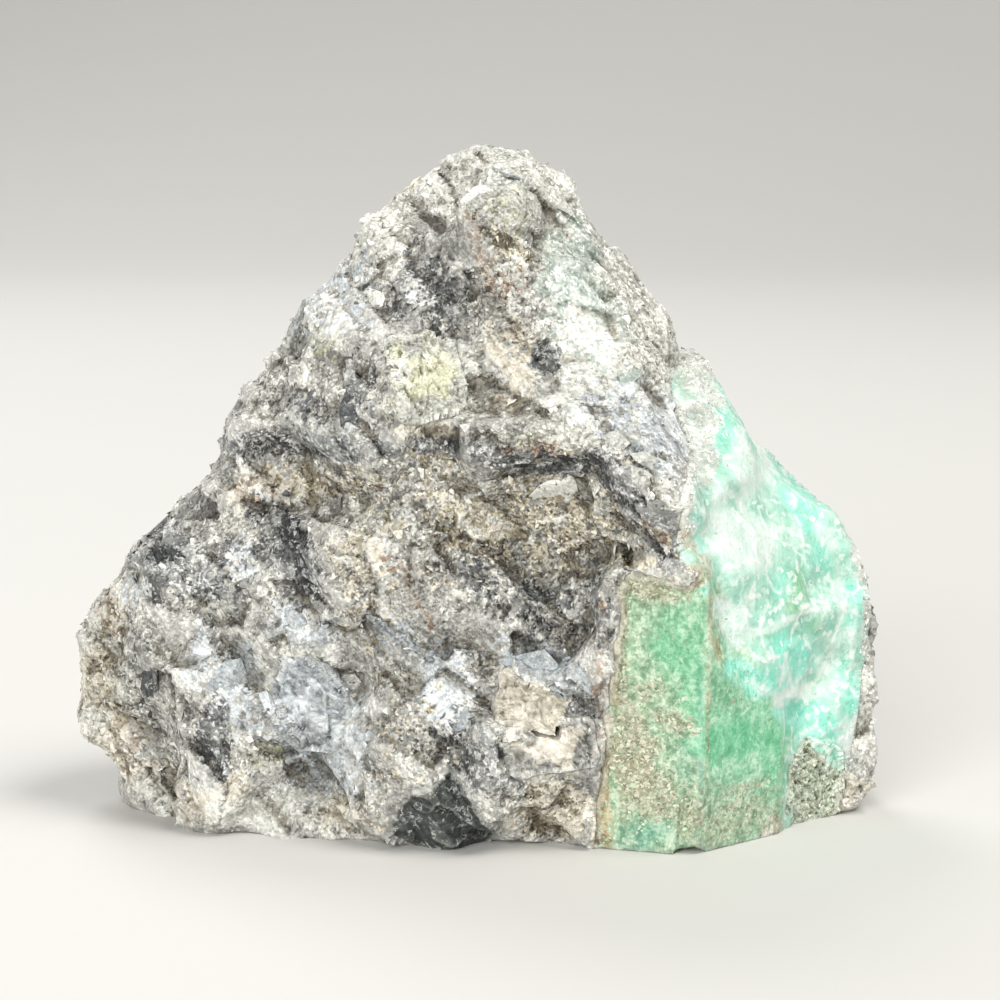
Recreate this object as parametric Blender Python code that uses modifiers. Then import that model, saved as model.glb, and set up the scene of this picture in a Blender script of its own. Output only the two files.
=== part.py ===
"""Emerald in matrix: a hand specimen of mica and quartz rock with one beryl crystal in it.

The whole specimen is shaped first, as one broken lump, and is then divided into its
minerals: the crystal and the large grains each take their share of the lump, and what
is left is the matrix rock. X runs to the right, Y away from the front, Z up. The
specimen stands on a flat break at Z = 0. Sizes in the tables are millimetres.
"""

import math

import bmesh
import bpy
from mathutils import Euler, Vector, noise

MM = 0.001
GAP = 0.3  # clearance between a grain and the pocket that it sits in, in millimetres

# The lump
LUMP_TRIANGLES = 8300
SKIN_CELL = 0.7 * MM  # voxels that the lump's skin is drawn again in, before it is thinned
SPHERE_LEVEL = 6  # subdivisions of the ball that the lump is drawn from
HEART = (1.0, 20.0)  # X, Z that the outline is seen from
# Outline from the front, anticlockwise from the spur at the right foot
OUTLINE = [
    (32.6, 2.0), (32.2, 8.0), (31.5, 14.5), (31.7, 17.5), (29.9, 21.4), (28.2, 24.0),
    (23.6, 27.5), (21.2, 30.9), (19.6, 34.6), (16.2, 37.9), (13.8, 40.8), (12.0, 43.8),
    (9.5, 46.8), (8.5, 49.6), (7.0, 51.3), (3.0, 52.5), (0.5, 53.9), (-1.8, 53.2),
    (-4.0, 51.5), (-4.2, 50.7), (-6.3, 50.3), (-8.1, 48.2), (-10.0, 44.7), (-10.4, 43.0),
    (-12.9, 41.5), (-14.4, 39.3), (-15.0, 37.4), (-15.7, 36.1), (-18.3, 34.0),
    (-19.7, 31.0), (-21.5, 27.1), (-24.6, 23.0), (-26.7, 22.0), (-29.1, 18.7),
    (-32.0, 14.4), (-32.7, 10.4), (-31.9, 5.6), (-29.2, 2.0), (-27.8, -2.0),
    (-24.0, -7.0), (22.0, -7.0), (27.8, -3.0), (31.0, 0.0),
]

# Depth of the front and of the back, from the middle plane, at each height: (Z, depth)
FRONT_PROFILE = [
    (-7.0, 17.0), (3.0, 17.3), (14.0, 16.8), (22.0, 16.6), (30.0, 13.8), (40.0, 9.6), (54.0, 4.5),
]
BACK_PROFILE = [(-7.0, 15.5), (10.0, 16.5), (26.0, 13.0), (40.0, 8.5), (54.0, 5.0)]
EDGE_ROUNDNESS = 2.9  # 2 is an ellipse in section, and more is blockier
# The front folds back on both sides of a prow, which runs up from the right foot to the top: (Z, X)
PROW = [(0.0, 16.5), (21.0, 16.0), (29.0, 11.0), (38.0, 6.5), (50.0, 2.5)]
LEFT_FALL, RIGHT_FALL = 0.29, 0.72  # how fast the two flanks fall back from the prow
# The back is two slabs that meet on a ridge
BACK_RIDGE_X, BACK_LEFT_FALL, BACK_RIGHT_FALL = -6.0, 0.16, 0.12

# Front landforms: X, Z, half width, half height, turn in degrees, rise
FRONT_LANDFORMS = {
    "left lump": (-20.5, 12.5, 12.5, 12.5, 0, 4.8),
    "left lump crown": (-24.5, 21.0, 6.5, 4.5, 25, 1.4),
    "apex knob": (2.0, 49.5, 6.5, 4.5, -20, 1.2),
    "apex crack": (0.2, 44.5, 1.3, 5.6, 45, -1.5),
    "top left slab": (-8.5, 39.0, 7.0, 8.0, 30, 1.6),
    "middle slab": (-3.5, 5.0, 9.0, 8.0, 10, 2.4),
    "seam valley": (-5.2, 18.0, 1.6, 6.0, 28, -2.0),
    "great hollow": (5.0, 24.3, 12.5, 6.2, -6, -4.6),
    "small hollow": (-11.5, 25.8, 7.5, 4.0, 4, -2.2),
    "dark recess": (6.4, 17.6, 4.0, 4.4, -20, -1.0),
    "swoosh ridge": (5.2, 13.0, 5.0, 1.8, -22, 1.5),
    "right quartz swell": (10.5, 33.5, 6.5, 6.5, 30, 1.6),
    "left notch": (-14.5, 30.0, 5.0, 1.4, -4, -2.4),
    "lower left pocket": (-27.5, 7.5, 3.6, 2.6, -25, -2.2),
    "plate gap": (4.2, 9.0, 3.0, 0.9, 6, -1.6),
    "lower break": (-14.0, 3.0, 5.0, 3.0, 0, -1.6),
}
# The rock above this line stands proud of what is below it: X, Z from left to right
BROW = [
    (-21.0, 29.6), (-19.3, 30.1), (-14.1, 31.2), (-10.1, 29.8), (-6.2, 28.5), (-1.6, 29.3),
    (6.1, 30.0), (9.9, 29.5), (13.2, 26.6), (16.6, 21.6),
]
BROW_RISE, BROW_FADE = 2.6, 12.0  # how proud, and over what height it dies out
BACK_LANDFORMS = {
    "back shoulder": (-14.0, 22.0, 9.0, 8.0, 15, 2.8),
    "back scoop": (9.0, 30.0, 8.0, 7.0, -30, -3.0),
    "back foot": (12.0, 8.0, 11.0, 6.0, 10, 2.2),
    "back pit": (-20.0, 10.0, 4.5, 4.0, 0, -2.4),
}
# Fracture faces: cell size, tilt of the faces, share of a step left between two of them
FRACTURES = [(12.0, 0.42, 0.40), (5.5, 0.50, 0.45), (2.6, 0.32, 0.5)]
FRACTURE_BEVEL = 0.14  # how far into a cell the step between two faces is worn down
SIDE_SCALE = 3.5  # cells larger than this hardly move the skin where it faces sideways
SIDE_KEEP, BROKEN_KEEP = 0.22, 0.55  # share of the rise that is left there, and on the broken crystal

# The beryl crystal: a six-sided prism with one edge in front. X, Y at the pivot's height, anticlockwise
CRYSTAL_SECTION = [(10.7, -13.8), (17.8, -16.0), (30.8, -3.9), (29.7, 1.0), (19.5, 4.1), (8.9, -5.8)]
CRYSTAL_PIVOT, CRYSTAL_LEAN = 17.0, 4.2  # the height, and degrees to the right as it goes up
CRYSTAL_REACH = 60.0  # longer than the specimen any way
# The rock that is left above the crystal's shoulder and to the left of its upper part: X, Z, anticlockwise
OVERLAP = [
    (2.0, 20.4), (11.3, 20.6), (12.2, 21.6), (16.4, 21.2), (15.6, 23.8), (15.2, 26.0), (16.2, 28.2),
    (16.9, 30.4), (15.6, 33.4), (14.9, 37.0), (12.5, 44.0), (2.0, 44.0),
]
# The rock that broke away in front of the crystal's two clean faces: X, Z, anticlockwise
WINDOW = [
    (8.7, -6.0), (34.0, -6.0), (34.0, 22.6), (17.7, 22.6), (16.2, 20.9), (14.2, 21.3),
    (12.4, 21.6), (11.3, 21.3), (10.8, 15.0), (9.9, 8.0), (9.3, 2.0),
]
WINDOW_START, WINDOW_DEPTH = -4.4, 28.0  # Y that the window is cut from, and how far towards the front
FACE_COVER = 0.9  # rock left in front of the two clean faces, for the window to clear
# The faces are clean below this line, as X, Z, and between the crystal's left edge and this X
CLEAN_TOP = [(17.6, 22.6), (18.3, 15.8), (24.0, 9.0)]
CLEAN_RIGHT, CLEAN_FADE = 25.5, 2.5
BROKEN_SINK, BROKEN_FALL = 1.0, 0.52  # above it the crystal is chipped back, more so with height
BROKEN_LEFT, BROKEN_FADE = 16.6, 1.6  # X where the chipped part starts, and how wide the change is
BROKEN_ROUNDNESS = 0.4  # how fully it is rounded off towards the outline
# The groove beside the crystal's front edge: its two ends, and how wide it is
GROOVE_FOOT, GROOVE_HEAD, GROOVE_WIDTH = (15.9, -15.6, -2.0), (16.9, -17.0, 18.5), 1.1
ARCH_AT, ARCH_SIZE = (16.6, -15.6, -0.5), (1.7, 2.4, 1.3)  # the small arch under that edge

# Other grains: X, Z, depth of the middle under the skin, then half sizes, then turns in degrees
GRAINS = {
    "mica_clump": {
        "at": (26.6, 2.9), "deep": 0.8, "half": (3.4, 2.8, 3.9), "turn": (0, -14, 0), "form": "lump",
    },
    "smoky_quartz": {
        "at": (-2.2, 2.3), "deep": 1.5, "half": (5.0, 4.2, 4.4), "turn": (0, -8, 6), "form": "block",
    },
    "feldspar_plate_upper": {
        "at": (4.4, 11.2), "deep": 0.8, "half": (2.2, 1.9, 1.3), "turn": (12, 14, 5), "form": "plate",
    },
    "feldspar_plate_lower": {
        "at": (5.9, 8.2), "deep": 0.8, "half": (3.0, 1.9, 1.5), "turn": (-8, -8, -4), "form": "plate",
    },
    "yellow_feldspar": {
        "at": (-3.6, 36.1), "deep": 1.0, "half": (2.4, 2.2, 2.5), "turn": (10, -6, 12), "form": "plate",
    },
    "blue_quartz_shard": {
        "at": (-12.4, 10.2), "deep": 1.0, "half": (2.9, 2.6, 4.8), "turn": (8, -34, 0), "form": "block",
    },
}

COLOURS = {
    "matrix_rock": (0.42, 0.41, 0.39),
    "emerald_crystal": (0.30, 0.66, 0.48),
    "mica_clump": (0.36, 0.34, 0.26),
    "smoky_quartz": (0.09, 0.10, 0.10),
    "feldspar_plate_upper": (0.72, 0.67, 0.58),
    "feldspar_plate_lower": (0.70, 0.64, 0.57),
    "yellow_feldspar": (0.66, 0.66, 0.46),
    "blue_quartz_shard": (0.52, 0.57, 0.63),
}


def clear_scene():
    for obj in list(bpy.data.objects):
        bpy.data.objects.remove(obj)


def new_collection(name):
    made = bpy.data.collections.new(name)
    bpy.context.scene.collection.children.link(made)
    return made


def stone_material(name, roughness=0.6):
    made = bpy.data.materials.new(name)
    made.use_nodes = True
    shader = made.node_tree.nodes["Principled BSDF"]
    shader.inputs["Base Color"].default_value = (*COLOURS[name], 1.0)
    shader.inputs["Roughness"].default_value = roughness
    shader.inputs["Metallic"].default_value = 0.0
    return made


def move_to(obj, collection):
    for old in list(obj.users_collection):
        old.objects.unlink(obj)
    collection.objects.link(obj)
    return obj


def smoothstep(share):
    share = min(max(share, 0.0), 1.0)
    return share * share * (3.0 - 2.0 * share)


def along(table, where):
    """The value that a table of (place, value) pairs gives at a place, straight between its rows."""
    if where <= table[0][0]:
        return table[0][1]
    for (low, first), (high, second) in zip(table, table[1:]):
        if where <= high:
            return first + (second - first) * (where - low) / (high - low)
    return table[-1][1]


def outline_reach(angle):
    """Distance from the heart of the lump to its outline, in the direction of this angle."""
    ray = Vector((math.cos(angle), math.sin(angle)))
    reach = 0.0
    for start, end in zip(OUTLINE, OUTLINE[1:] + OUTLINE[:1]):
        a = Vector(start) - Vector(HEART)
        edge = Vector(end) - Vector(start)
        across = ray.cross(edge)
        if abs(across) < 1e-9:
            continue
        distance, share = a.cross(edge) / across, a.cross(ray) / across
        if distance > 0 and -1e-6 <= share <= 1 + 1e-6:
            reach = max(reach, distance)
    return reach


def landform(x, z, form):
    """Rise of one landform at X, Z: full in its middle, and nothing past its rim."""
    middle_x, middle_z, half_width, half_height, turn, rise = form
    turn = math.radians(turn)
    right, up = x - middle_x, z - middle_z
    u = (right * math.cos(turn) + up * math.sin(turn)) / half_width
    v = (up * math.cos(turn) - right * math.sin(turn)) / half_height
    return rise * smoothstep(1.35 * (1.0 - math.hypot(u, v)))


def brow_rise(x, z):
    above = z - along(BROW, x)
    sides = smoothstep((x + 24.0) / 4.0) * smoothstep((18.5 - x) / 3.0)
    return BROW_RISE * sides * smoothstep(above / 1.0) * (1.0 - smoothstep(above / BROW_FADE))


def front_depth(x, z):
    aside = x - along(PROW, z)
    fall = RIGHT_FALL * aside if aside > 0 else -LEFT_FALL * aside
    depth = max(along(FRONT_PROFILE, z) - fall, 2.0)
    return depth + brow_rise(x, z) + sum(landform(x, z, form) for form in FRONT_LANDFORMS.values())


def back_depth(x, z):
    aside = x - BACK_RIDGE_X
    fall = BACK_RIGHT_FALL * aside if aside > 0 else -BACK_LEFT_FALL * aside
    depth = max(along(BACK_PROFILE, z) - fall, 3.0)
    return depth + sum(landform(x, z, form) for form in BACK_LANDFORMS.values())


def upright(x, z):
    """X as it would be if the crystal didn't lean."""
    return x - (z - CRYSTAL_PIVOT) * math.tan(math.radians(CRYSTAL_LEAN))


def crystal_front(x, z):
    """Depth of the crystal's two front faces."""
    return -along(CRYSTAL_SECTION[:3], upright(x, z))


def on_clean_faces(x, z):
    """1 on the two clean crystal faces, and 0 away from them."""
    past_left = smoothstep((upright(x, z) - CRYSTAL_SECTION[0][0] + 1.1) / 0.9)
    return past_left * smoothstep((CLEAN_RIGHT - x) / CLEAN_FADE) * smoothstep(along(CLEAN_TOP, x) - z)


def front_skin(x, z):
    """Depth of the lump's front skin, rounded off towards its outline and cleared for the crystal's faces."""
    depth = front_depth(x, z) * fullness(x, z)
    sink = BROKEN_SINK + BROKEN_FALL * max(z - CRYSTAL_PIVOT, 0.0)
    broken = (crystal_front(x, z) - sink) * fullness(x, z) ** BROKEN_ROUNDNESS
    depth += (broken - depth) * smoothstep((x - BROKEN_LEFT) / BROKEN_FADE)
    return depth + (crystal_front(x, z) + FACE_COVER - depth) * on_clean_faces(x, z)


def fullness(x, z):
    """1 at the heart of the lump, and falling to 0 on its outline."""
    right, up = x - HEART[0], z - HEART[1]
    spread = min(math.hypot(right, up) / outline_reach(math.atan2(up, right)), 1.0)
    return (1.0 - spread**EDGE_ROUNDNESS) ** (1.0 / EDGE_ROUNDNESS)


def lump_point(direction):
    """Where a point of the unit ball goes: its bearing picks the outline, its front or back the depth."""
    angle = math.atan2(direction.z, direction.x)
    reach = outline_reach(angle) * min(math.hypot(direction.x, direction.z), 1.0)
    x = HEART[0] + reach * math.cos(angle)
    z = HEART[1] + reach * math.sin(angle)
    if direction.y < 0:
        return Vector((x, -front_skin(x, z), z))
    return Vector((x, back_depth(x, z) * fullness(x, z), z))


def fracture_rise(point, facing):
    """Flat, tilted fracture faces in cells of several sizes, with part of the step between them kept.

    facing is 1 where the skin faces the front or the back, and 0 where it faces sideways.
    """
    rise = 0.0
    for size, tilt, step in FRACTURES:
        scaled = point / size
        distances, seeds = noise.voronoi(scaled)
        slope = (noise.cell_vector(seeds[0] * 17.0) - Vector((0.5, 0.5, 0.5))) * 2.0 * tilt
        inside = smoothstep((distances[1] - distances[0]) / FRACTURE_BEVEL)
        keep = SIDE_KEEP + (1.0 - SIDE_KEEP) * facing if size > SIDE_SCALE else 1.0
        rise += keep * size * slope.dot(scaled - seeds[0]) * (step + (1.0 - step) * inside)
    return rise


def whole_lump(collection):
    """The specimen before it is divided: fractured, thinned to its triangles and cut flat at its base."""
    bpy.ops.mesh.primitive_ico_sphere_add(subdivisions=SPHERE_LEVEL, radius=1.0)
    lump = move_to(bpy.context.active_object, collection)
    lump.name = "whole_lump"
    mesh = lump.data
    for vertex in mesh.vertices:
        vertex.co = lump_point(vertex.co.normalized())
    mesh.update()
    moved = []
    for vertex in mesh.vertices:
        point = vertex.co
        rise = fracture_rise(point, abs(vertex.normal.y))
        if point.y < 0:
            rise *= 1.0 - on_clean_faces(point.x, point.z)
            rise *= BROKEN_KEEP if point.x > BROKEN_LEFT + BROKEN_FADE / 2 else 1.0
        moved.append((point + vertex.normal * rise) * MM)
    for vertex, place in zip(mesh.vertices, moved):
        vertex.co = place
    skin = lump.modifiers.new("skin", "REMESH")
    skin.mode = "VOXEL"
    skin.voxel_size = SKIN_CELL
    lump = as_mesh(lump)
    thin = lump.modifiers.new("thin", "DECIMATE")
    thin.ratio = LUMP_TRIANGLES / (2 * len(lump.data.polygons))
    lump = as_mesh(lump)
    cut_flat(lump, Vector((0, 0, 0)), Vector((0, 0, 1)))
    return lump


def as_mesh(obj):
    """The object with its modifiers applied, in world coordinates."""
    bpy.context.view_layer.update()
    graph = bpy.context.evaluated_depsgraph_get()
    mesh = bpy.data.meshes.new_from_object(obj.evaluated_get(graph), depsgraph=graph)
    mesh.transform(obj.matrix_world)
    made = bpy.data.objects.new(obj.name, mesh)
    obj.users_collection[0].objects.link(made)
    name = obj.name
    bpy.data.objects.remove(obj)
    made.name = name
    return made


def cut_flat(obj, point, keep_side):
    """Cuts the mesh with a plane and closes the cut, keeping the side that keep_side points to."""
    work = bmesh.new()
    work.from_mesh(obj.data)
    everything = work.verts[:] + work.edges[:] + work.faces[:]
    cut = bmesh.ops.bisect_plane(work, geom=everything, plane_co=point, plane_no=keep_side, clear_inner=True)
    rim = [piece for piece in cut["geom_cut"] if isinstance(piece, bmesh.types.BMEdge)]
    bmesh.ops.contextual_create(work, geom=rim)
    bmesh.ops.recalc_face_normals(work, faces=work.faces)
    work.to_mesh(obj.data)
    work.free()


def boolean(obj, cutter, operation):
    """The mesh that this Boolean leaves, with stray chips dropped."""
    step = obj.modifiers.new(operation.lower(), "BOOLEAN")
    step.operation = operation
    step.object = cutter
    made = as_mesh(obj)
    keep_largest_body(made)
    return made


def keep_largest_body(obj):
    work = bmesh.new()
    work.from_mesh(obj.data)
    left = set(work.verts)
    bodies = []
    while left:
        body, frontier = set(), [left.pop()]
        while frontier:
            vertex = frontier.pop()
            body.add(vertex)
            for edge in vertex.link_edges:
                other = edge.other_vert(vertex)
                if other in left:
                    left.discard(other)
                    frontier.append(other)
        bodies.append(body)
    bodies.sort(key=len)
    for body in bodies[:-1]:
        bmesh.ops.delete(work, geom=list(body), context="VERTS")
    work.to_mesh(obj.data)
    work.free()


def copy_of(obj, name, collection):
    made = bpy.data.objects.new(name, obj.data.copy())
    collection.objects.link(made)
    return made


def offset_outline(outline, by):
    """An anticlockwise outline, moved outwards by this much all round."""
    moved = []
    for before, point, after in zip(outline[-1:] + outline[:-1], outline, outline[1:] + outline[:1]):
        arriving = (Vector(point) - Vector(before)).normalized()
        leaving = (Vector(after) - Vector(point)).normalized()
        first, second = Vector((arriving.y, -arriving.x)), Vector((leaving.y, -leaving.x))
        moved.append(Vector(point) + (first + second) * by / (1.0 + first.dot(second)))
    return moved


def extruded(name, outline, length, collection):
    """A solid with this outline in millimetres, drawn both ways along its own Z."""
    curve = bpy.data.curves.new(name, "CURVE")
    curve.dimensions = "2D"
    curve.fill_mode = "BOTH"
    curve.extrude = length * MM / 2
    spline = curve.splines.new("POLY")
    spline.points.add(len(outline) - 1)
    for point, (across, up) in zip(spline.points, outline):
        point.co = (across * MM, up * MM, 0, 1)
    spline.use_cyclic_u = True
    solid = bpy.data.objects.new(name, curve)
    collection.objects.link(solid)
    solid = as_mesh(solid)
    work = bmesh.new()
    work.from_mesh(solid.data)
    bmesh.ops.remove_doubles(work, verts=work.verts, dist=1e-6)
    bmesh.ops.recalc_face_normals(work, faces=work.faces)
    work.to_mesh(solid.data)
    work.free()
    return solid


def seen_from_front(solid, middle_y):
    """Stands an extruded solid up, so that its outline is read as X, Z."""
    solid.rotation_euler = Euler((math.radians(90.0), 0, 0))
    solid.location = (0, middle_y * MM, 0)
    return as_mesh(solid)


def crystal_space(name, grown, collection):
    """The space of the beryl crystal, larger by `grown` all round, less the rock that overlaps it."""
    prism = extruded(name, offset_outline(CRYSTAL_SECTION, grown), CRYSTAL_REACH, collection)
    prism.location = (0, 0, CRYSTAL_PIVOT * MM)
    prism.rotation_euler = Euler((0, math.radians(CRYSTAL_LEAN), 0))
    overlap = extruded(name + "_overlap", offset_outline(OVERLAP, -grown), CRYSTAL_REACH, collection)
    return boolean(prism, seen_from_front(overlap, 0.0), "DIFFERENCE")


def window_cutter(collection):
    window = extruded("window", WINDOW, WINDOW_DEPTH, collection)
    return seen_from_front(window, WINDOW_START - WINDOW_DEPTH / 2)


def groove_cutter(collection):
    foot, head = Vector(GROOVE_FOOT) * MM, Vector(GROOVE_HEAD) * MM
    run = head - foot
    bpy.ops.mesh.primitive_cylinder_add(vertices=3, radius=GROOVE_WIDTH * MM, depth=run.length)
    groove = move_to(bpy.context.active_object, collection)
    groove.name = "groove"
    groove.location = (foot + head) / 2
    groove.rotation_euler = run.to_track_quat("Z", "Y").to_euler()
    return as_mesh(groove)


def arch_cutter(collection):
    bpy.ops.mesh.primitive_ico_sphere_add(subdivisions=1, radius=1.0)
    arch = move_to(bpy.context.active_object, collection)
    arch.name = "arch"
    arch.scale = Vector(ARCH_SIZE) * MM
    arch.location = Vector(ARCH_AT) * MM
    return as_mesh(arch)


def grain_block(name, grown, skin, collection):
    """The space that a large grain takes under a mesh's front skin: a lump, a block or a cleaved plate."""
    grain = GRAINS[name]
    if grain["form"] == "plate":
        bpy.ops.mesh.primitive_cube_add(size=2.0)
    else:
        level = 1 if grain["form"] == "block" else 2
        bpy.ops.mesh.primitive_ico_sphere_add(subdivisions=level, radius=1.0)
    block = move_to(bpy.context.active_object, collection)
    block.name = name + "_space"
    block.scale = [(half + grown) * MM for half in grain["half"]]
    x, z = grain["at"]
    in_front = Vector((x, -CRYSTAL_REACH, z)) * MM
    _, met, _, _ = skin.ray_cast(in_front, Vector((0, 1, 0)))
    block.location = met + Vector((0, grain["deep"] * MM, 0))
    block.rotation_euler = Euler([math.radians(turn) for turn in grain["turn"]])
    return as_mesh(block)


def centre_on_base(objects):
    """Moves the whole specimen so that the middle of its box is over the origin and its base is at Z = 0."""
    corners = [obj.matrix_world @ vertex.co for obj in objects for vertex in obj.data.vertices]
    middle = [(min(c[axis] for c in corners) + max(c[axis] for c in corners)) / 2 for axis in range(2)]
    for obj in objects:
        for vertex in obj.data.vertices:
            vertex.co.x -= middle[0]
            vertex.co.y -= middle[1]


def shade(obj):
    obj.data.shade_smooth()
    obj.data.set_sharp_from_angle(angle=math.radians(32.0))


def build():
    clear_scene()
    specimen = new_collection("emerald_in_matrix")
    helpers = new_collection("cutters")
    rest = whole_lump(specimen)
    spaces = {name: [grain_block(name, grown, rest, helpers) for grown in (0.0, GAP)] for name in GRAINS}

    pieces = []
    for name, (space, pocket) in spaces.items():
        pieces.append(boolean(copy_of(rest, name, specimen), space, "INTERSECT"))
        rest = boolean(rest, pocket, "DIFFERENCE")

    crystal = copy_of(rest, "emerald_crystal", specimen)
    crystal = boolean(crystal, crystal_space("prism", 0.0, helpers), "INTERSECT")
    crystal = boolean(crystal, groove_cutter(helpers), "DIFFERENCE")
    pieces.append(boolean(crystal, arch_cutter(helpers), "DIFFERENCE"))

    rest = boolean(rest, crystal_space("pocket", GAP, helpers), "DIFFERENCE")
    rest = boolean(rest, window_cutter(helpers), "DIFFERENCE")
    rest.name = "matrix_rock"
    pieces.append(rest)

    centre_on_base(pieces)
    for obj in pieces:
        obj.data.materials.clear()
        obj.data.materials.append(stone_material(obj.name))
        shade(obj)
    for helper in helpers.objects:
        helper.hide_render = True
        helper.display_type = "WIRE"


build()
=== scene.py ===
import itertools
import math
import bmesh
import bpy
import numpy as np
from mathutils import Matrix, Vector
from mathutils.bvhtree import BVHTree


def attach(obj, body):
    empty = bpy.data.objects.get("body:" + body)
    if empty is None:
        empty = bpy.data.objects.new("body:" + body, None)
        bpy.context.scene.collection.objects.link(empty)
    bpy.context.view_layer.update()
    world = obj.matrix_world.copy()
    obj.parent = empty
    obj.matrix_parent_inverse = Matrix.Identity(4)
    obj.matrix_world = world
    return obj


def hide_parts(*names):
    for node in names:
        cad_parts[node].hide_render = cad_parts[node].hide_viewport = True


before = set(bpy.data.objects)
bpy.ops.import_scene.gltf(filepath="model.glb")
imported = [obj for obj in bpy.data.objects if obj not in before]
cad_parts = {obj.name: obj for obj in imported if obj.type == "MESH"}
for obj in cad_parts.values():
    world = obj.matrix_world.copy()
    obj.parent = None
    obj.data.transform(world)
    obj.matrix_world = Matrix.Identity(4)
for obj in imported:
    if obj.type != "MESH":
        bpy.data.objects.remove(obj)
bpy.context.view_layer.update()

# sizes are in millimetres, and turn into metres when a mesh is filled
mm = 0.001
print("frame loaded:", len(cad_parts), "solids")


# scattered cells and soft noise, the same each run
tableSide = 64
cellTable = np.random.default_rng(41).random((tableSide, tableSide, tableSide, 7))


def fade(low, high, value):
    t = np.clip((value - low) / (high - low), 0, 1)
    return t * t * (3 - 2 * t)


def brokenCells(points, size, stretch=(1, 1, 1), shift=0):
    # each point's flat tilted cell height, its way to the border and the cell's random value
    grid = points / (size * np.array(stretch)) + shift
    home = np.floor(grid).astype(int)
    best = np.full(len(points), 9.0)   # farther than any cell
    second = best.copy()
    height = np.zeros(len(points))
    pick = np.zeros(len(points))
    for step in itertools.product((-1, 0, 1), repeat=3):
        cell = home + step
        c = cell % tableSide
        row = cellTable[c[:, 0], c[:, 1], c[:, 2]]
        gap = grid - cell - row[:, :3]
        away = np.sqrt((gap * gap).sum(axis=1))
        nearer = away < best
        second = np.where(nearer, best, np.minimum(second, away))
        best = np.where(nearer, away, best)
        height = np.where(nearer, (gap * (row[:, 3:6] - 0.5)).sum(axis=1), height)
        pick = np.where(nearer, row[:, 6], pick)
    return height * size, (second - best) * size, pick


def clouds(points, size, shift=0):
    grid = points / size + shift
    home = np.floor(grid).astype(int)
    f = grid - home
    f = f * f * (3 - 2 * f)
    total = np.zeros(len(points))
    for step in itertools.product((0, 1), repeat=3):
        c = (home + step) % tableSide
        share = np.prod(np.where(np.array(step) == 1, f, 1 - f), axis=1)
        total += share * cellTable[c[:, 0], c[:, 1], c[:, 2], 6]
    return total


def wobbled(points, size, amount):
    # so that cell borders and patch edges aren't straight
    push = [clouds(points, size, shift) - 0.5 for shift in (3.3, 11.7, 23.1)]
    return points + amount * 2 * np.stack(push, axis=1)


def fetched(items, key, size, kind=float):
    values = np.empty(len(items) * size, dtype=kind)
    items.foreach_get(key, values)
    return values.reshape(-1, size)


def pointsOf(mesh):
    return fetched(mesh.vertices, "co", 3) / mm


def normalsOf(mesh):
    return fetched(mesh.vertex_normals, "vector", 3)


def trianglesOf(mesh):
    mesh.calc_loop_triangles()
    return fetched(mesh.loop_triangles, "vertices", 3, np.int32)


def setPoints(mesh, points):
    points[:, 2] = np.maximum(points[:, 2], 0)   # nothing goes below the floor
    mesh.vertices.foreach_set("co", (points * mm).ravel())
    mesh.update()


def relaxed(mesh, points, rounds):
    a, b = fetched(mesh.edges, "vertices", 2, np.int32).T
    count = len(points)
    near = np.bincount(a, minlength=count) + np.bincount(b, minlength=count)
    for _ in range(rounds):
        sums = [np.bincount(a, points[b, k], count) + np.bincount(b, points[a, k], count) for k in range(3)]
        points = points * 0.4 + np.stack(sums, axis=1) / np.maximum(near, 1)[:, None] * 0.6
    return points


def keepMasks(mesh, masks):
    for name, values in masks.items():
        layer = mesh.attributes.new(name, "FLOAT", "POINT")
        layer.data.foreach_set("value", np.asarray(values, dtype=np.float32))


def intoScene(name, data):
    made = bpy.data.objects.new(name, data)
    bpy.context.scene.collection.objects.link(made)
    return made


def meshFrom(name, points, triangles):
    mesh = bpy.data.meshes.new(name)
    mesh.vertices.add(len(points))
    mesh.vertices.foreach_set("co", (points * mm).ravel())
    mesh.loops.add(len(triangles) * 3)
    mesh.loops.foreach_set("vertex_index", triangles.ravel())
    mesh.polygons.add(len(triangles))
    mesh.polygons.foreach_set("loop_start", np.arange(0, len(triangles) * 3, 3))
    mesh.update(calc_edges=True)
    mesh.shade_flat()
    return intoScene(name, mesh)


weldReach = 2e-6   # in metres


def fineCopy(nodeName, pieceName, voxel):
    # a dense copy of a frame solid, ready for relief
    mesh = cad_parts[nodeName].data.copy()
    mesh.materials.clear()
    welded = bmesh.new()
    welded.from_mesh(mesh)
    bmesh.ops.remove_doubles(welded, verts=welded.verts, dist=weldReach)
    welded.to_mesh(mesh)
    welded.free()
    piece = intoScene(pieceName, mesh)
    voxels = piece.modifiers.new("voxels", "REMESH")
    voxels.mode = "VOXEL"
    voxels.voxel_size = voxel * mm
    relax = piece.modifiers.new("relax", "SMOOTH")
    relax.factor = 0.5
    relax.iterations = 2
    dense = bpy.data.meshes.new_from_object(piece.evaluated_get(bpy.context.evaluated_depsgraph_get()))
    piece.modifiers.clear()
    piece.data = dense
    setPoints(dense, nudged(pointsOf(dense)))
    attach(piece, "root")
    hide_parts(nodeName)
    return piece


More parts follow.
